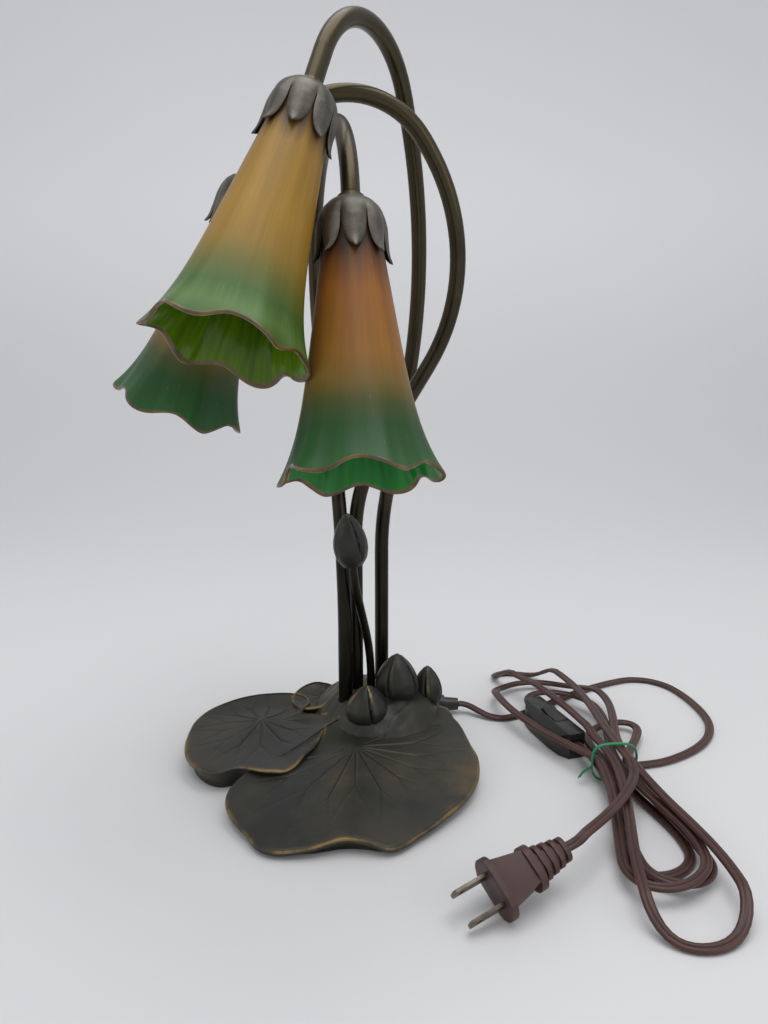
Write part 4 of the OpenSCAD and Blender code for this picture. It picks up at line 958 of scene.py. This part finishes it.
def softened(name, width, piece_name):
    """A copy of a CAD solid, merged and with its sharp edges rounded."""
    piece = nodes[name].copy()
    piece.data = nodes[name].data.copy()
    piece.name = piece.data.name = piece_name
    piece.parent = None
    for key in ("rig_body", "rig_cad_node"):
        if key in piece:
            del piece[key]
    bpy.context.scene.collection.objects.link(piece)
    bpy.ops.object.select_all(action="DESELECT")
    piece.select_set(True)
    bpy.context.view_layer.objects.active = piece
    bpy.ops.object.mode_set(mode="EDIT")
    bpy.ops.mesh.select_all(action="SELECT")
    bpy.ops.mesh.customdata_custom_splitnormals_clear()
    bpy.ops.mesh.remove_doubles(threshold=0.00002)
    bpy.ops.mesh.dissolve_limited(angle_limit=math.radians(1.5))
    bpy.ops.object.mode_set(mode="OBJECT")
    edge = piece.modifiers.new("edge", "BEVEL")
    edge.width, edge.segments, edge.limit_method, edge.angle_limit = width, 3, "ANGLE", math.radians(25)
    edge.use_clamp_overlap = True
    bpy.ops.object.modifier_apply(modifier="edge")
    bpy.ops.object.shade_smooth_by_angle(angle=math.radians(30))
    return piece


for name, body in (("switch_bottom", "lamp"), ("switch_top", "lamp"), ("switch_rocker", "rocker")):
    piece = softened(name, 0.45 * mm, name + "_shown")
    wear(piece, black)
    hand_over(piece, "switch_black", [name], body)


# ---- Plug ----
# Moulded in one with the cord's end: flange, ribbed grip, collar and the rings
# of its strain relief. Two flat brass blades with a hole near each tip.

plug = softened("plug_body", 0.3 * mm, "plug_body_shown")


def plug_sockets(w):
    colour, grain = brown_plastic(w, 0.9)
    return {"Base Color": colour, "Roughness": 0.42 + 0.1 * grain, "Normal": w.bump(grain, 0.15, 0.0002)}


wear(plug, finish_of("plug_brown", plug_sockets))
hand_over(plug, "cord_brown", ["plug_body"])
blades = softened("plug_blades", 0.2 * mm, "plug_blades_shown")
wear(blades, finish_of("blade_brass", plain_metal((0.075, 0.062, 0.048), (0.19, 0.16, 0.125), 0.3, 160)))
hand_over(blades, "brass", ["plug_blades"])


# ---- Wire tie ----
# Green plastic covered wire, once round the waist of the hank and twisted.
# The cord that it holds is handed over with it.

tie = softened("cord_tie", 0.1 * mm, "cord_tie_shown")


def tie_sockets(w):
    grain = w.noise(w.place(), 900, 3)
    return {"Base Color": grain.mix((0.004, 0.16, 0.055), (0.010, 0.27, 0.105)),
            "Roughness": 0.35 + 0.15 * grain, "Normal": w.bump(grain, 0.3, 0.0003)}


wear(tie, finish_of("tie_green", tie_sockets))
hand_over(tie, "tie_green", ["cord_tie"])

hand_over(cord, "cord_brown", ["cord_lead", "cord_hank", "cord_tail"])
hand_over(cord_inside, "cord_brown")


# ---- Studio ----
# Pale floor swept up behind, painted lighter the higher it rises as painted light, and
# soft lamps above and on either side. Sizes are in metres.

sweep_start, sweep_r, floor_half, floor_below = 0.55, 1.3, 3.5, 0.0003
bpy.ops.mesh.primitive_grid_add(x_subdivisions=4, y_subdivisions=96, size=2)
floor = bpy.context.object
floor.name = "floor"
for v in floor.data.vertices:
    along = -floor_half + (v.co.y + 1) / 2 * (2 * floor_half + sweep_r)
    turned = min(math.pi / 2, max(0.0, along - sweep_start) / sweep_r)
    past = max(0.0, along - sweep_start - sweep_r * math.pi / 2)
    v.co = (v.co.x * floor_half, min(along, sweep_start) + sweep_r * math.sin(turned),
            sweep_r * (1 - math.cos(turned)) + past - floor_below)
floor.data.shade_smooth()


def floor_sockets(w):
    # Painted light: the floor is painted greyer low down and lighter up the sweep.
    height = w.node("SeparateXYZ", {0: w.place()}, out="Z").between(0.0, 0.7)
    cloud = w.noise(w.place(), 2.0, 2)
    return {"Base Color": (height * 0.9 + cloud * 0.1).mix((0.66, 0.66, 0.665), (0.93, 0.93, 0.935)),
            "Roughness": 0.7}


wear(floor, finish_of("floor_pale", floor_sockets))

world = bpy.data.worlds.new("studio")
bpy.context.scene.world = world
world.use_nodes = True
world.node_tree.nodes["Background"].inputs["Color"].default_value = (0.78, 0.79, 0.82, 1)
world.node_tree.nodes["Background"].inputs["Strength"].default_value = 0.72


def lamp(name, at, target, size, power):
    data = bpy.data.lights.new(name, "AREA")
    data.shape, data.size, data.energy = "SQUARE", size, power
    light = bpy.data.objects.new(name, data)
    light.location = at
    light.rotation_euler = (Vector(target) - Vector(at)).to_track_quat("-Z", "Y").to_euler()
    bpy.context.scene.collection.objects.link(light)


lamp("top", (0.1, -0.1, 1.3), (0.0, 0.0, 0.1), 1.1, 9)
lamp("left", (-1.1, -0.5, 0.7), (0.0, 0.0, 0.2), 0.7, 1.5)
lamp("right", (1.0, -0.7, 0.6), (0.0, 0.0, 0.2), 0.7, 1.5)
bpy.context.scene.view_settings.view_transform = "Standard"
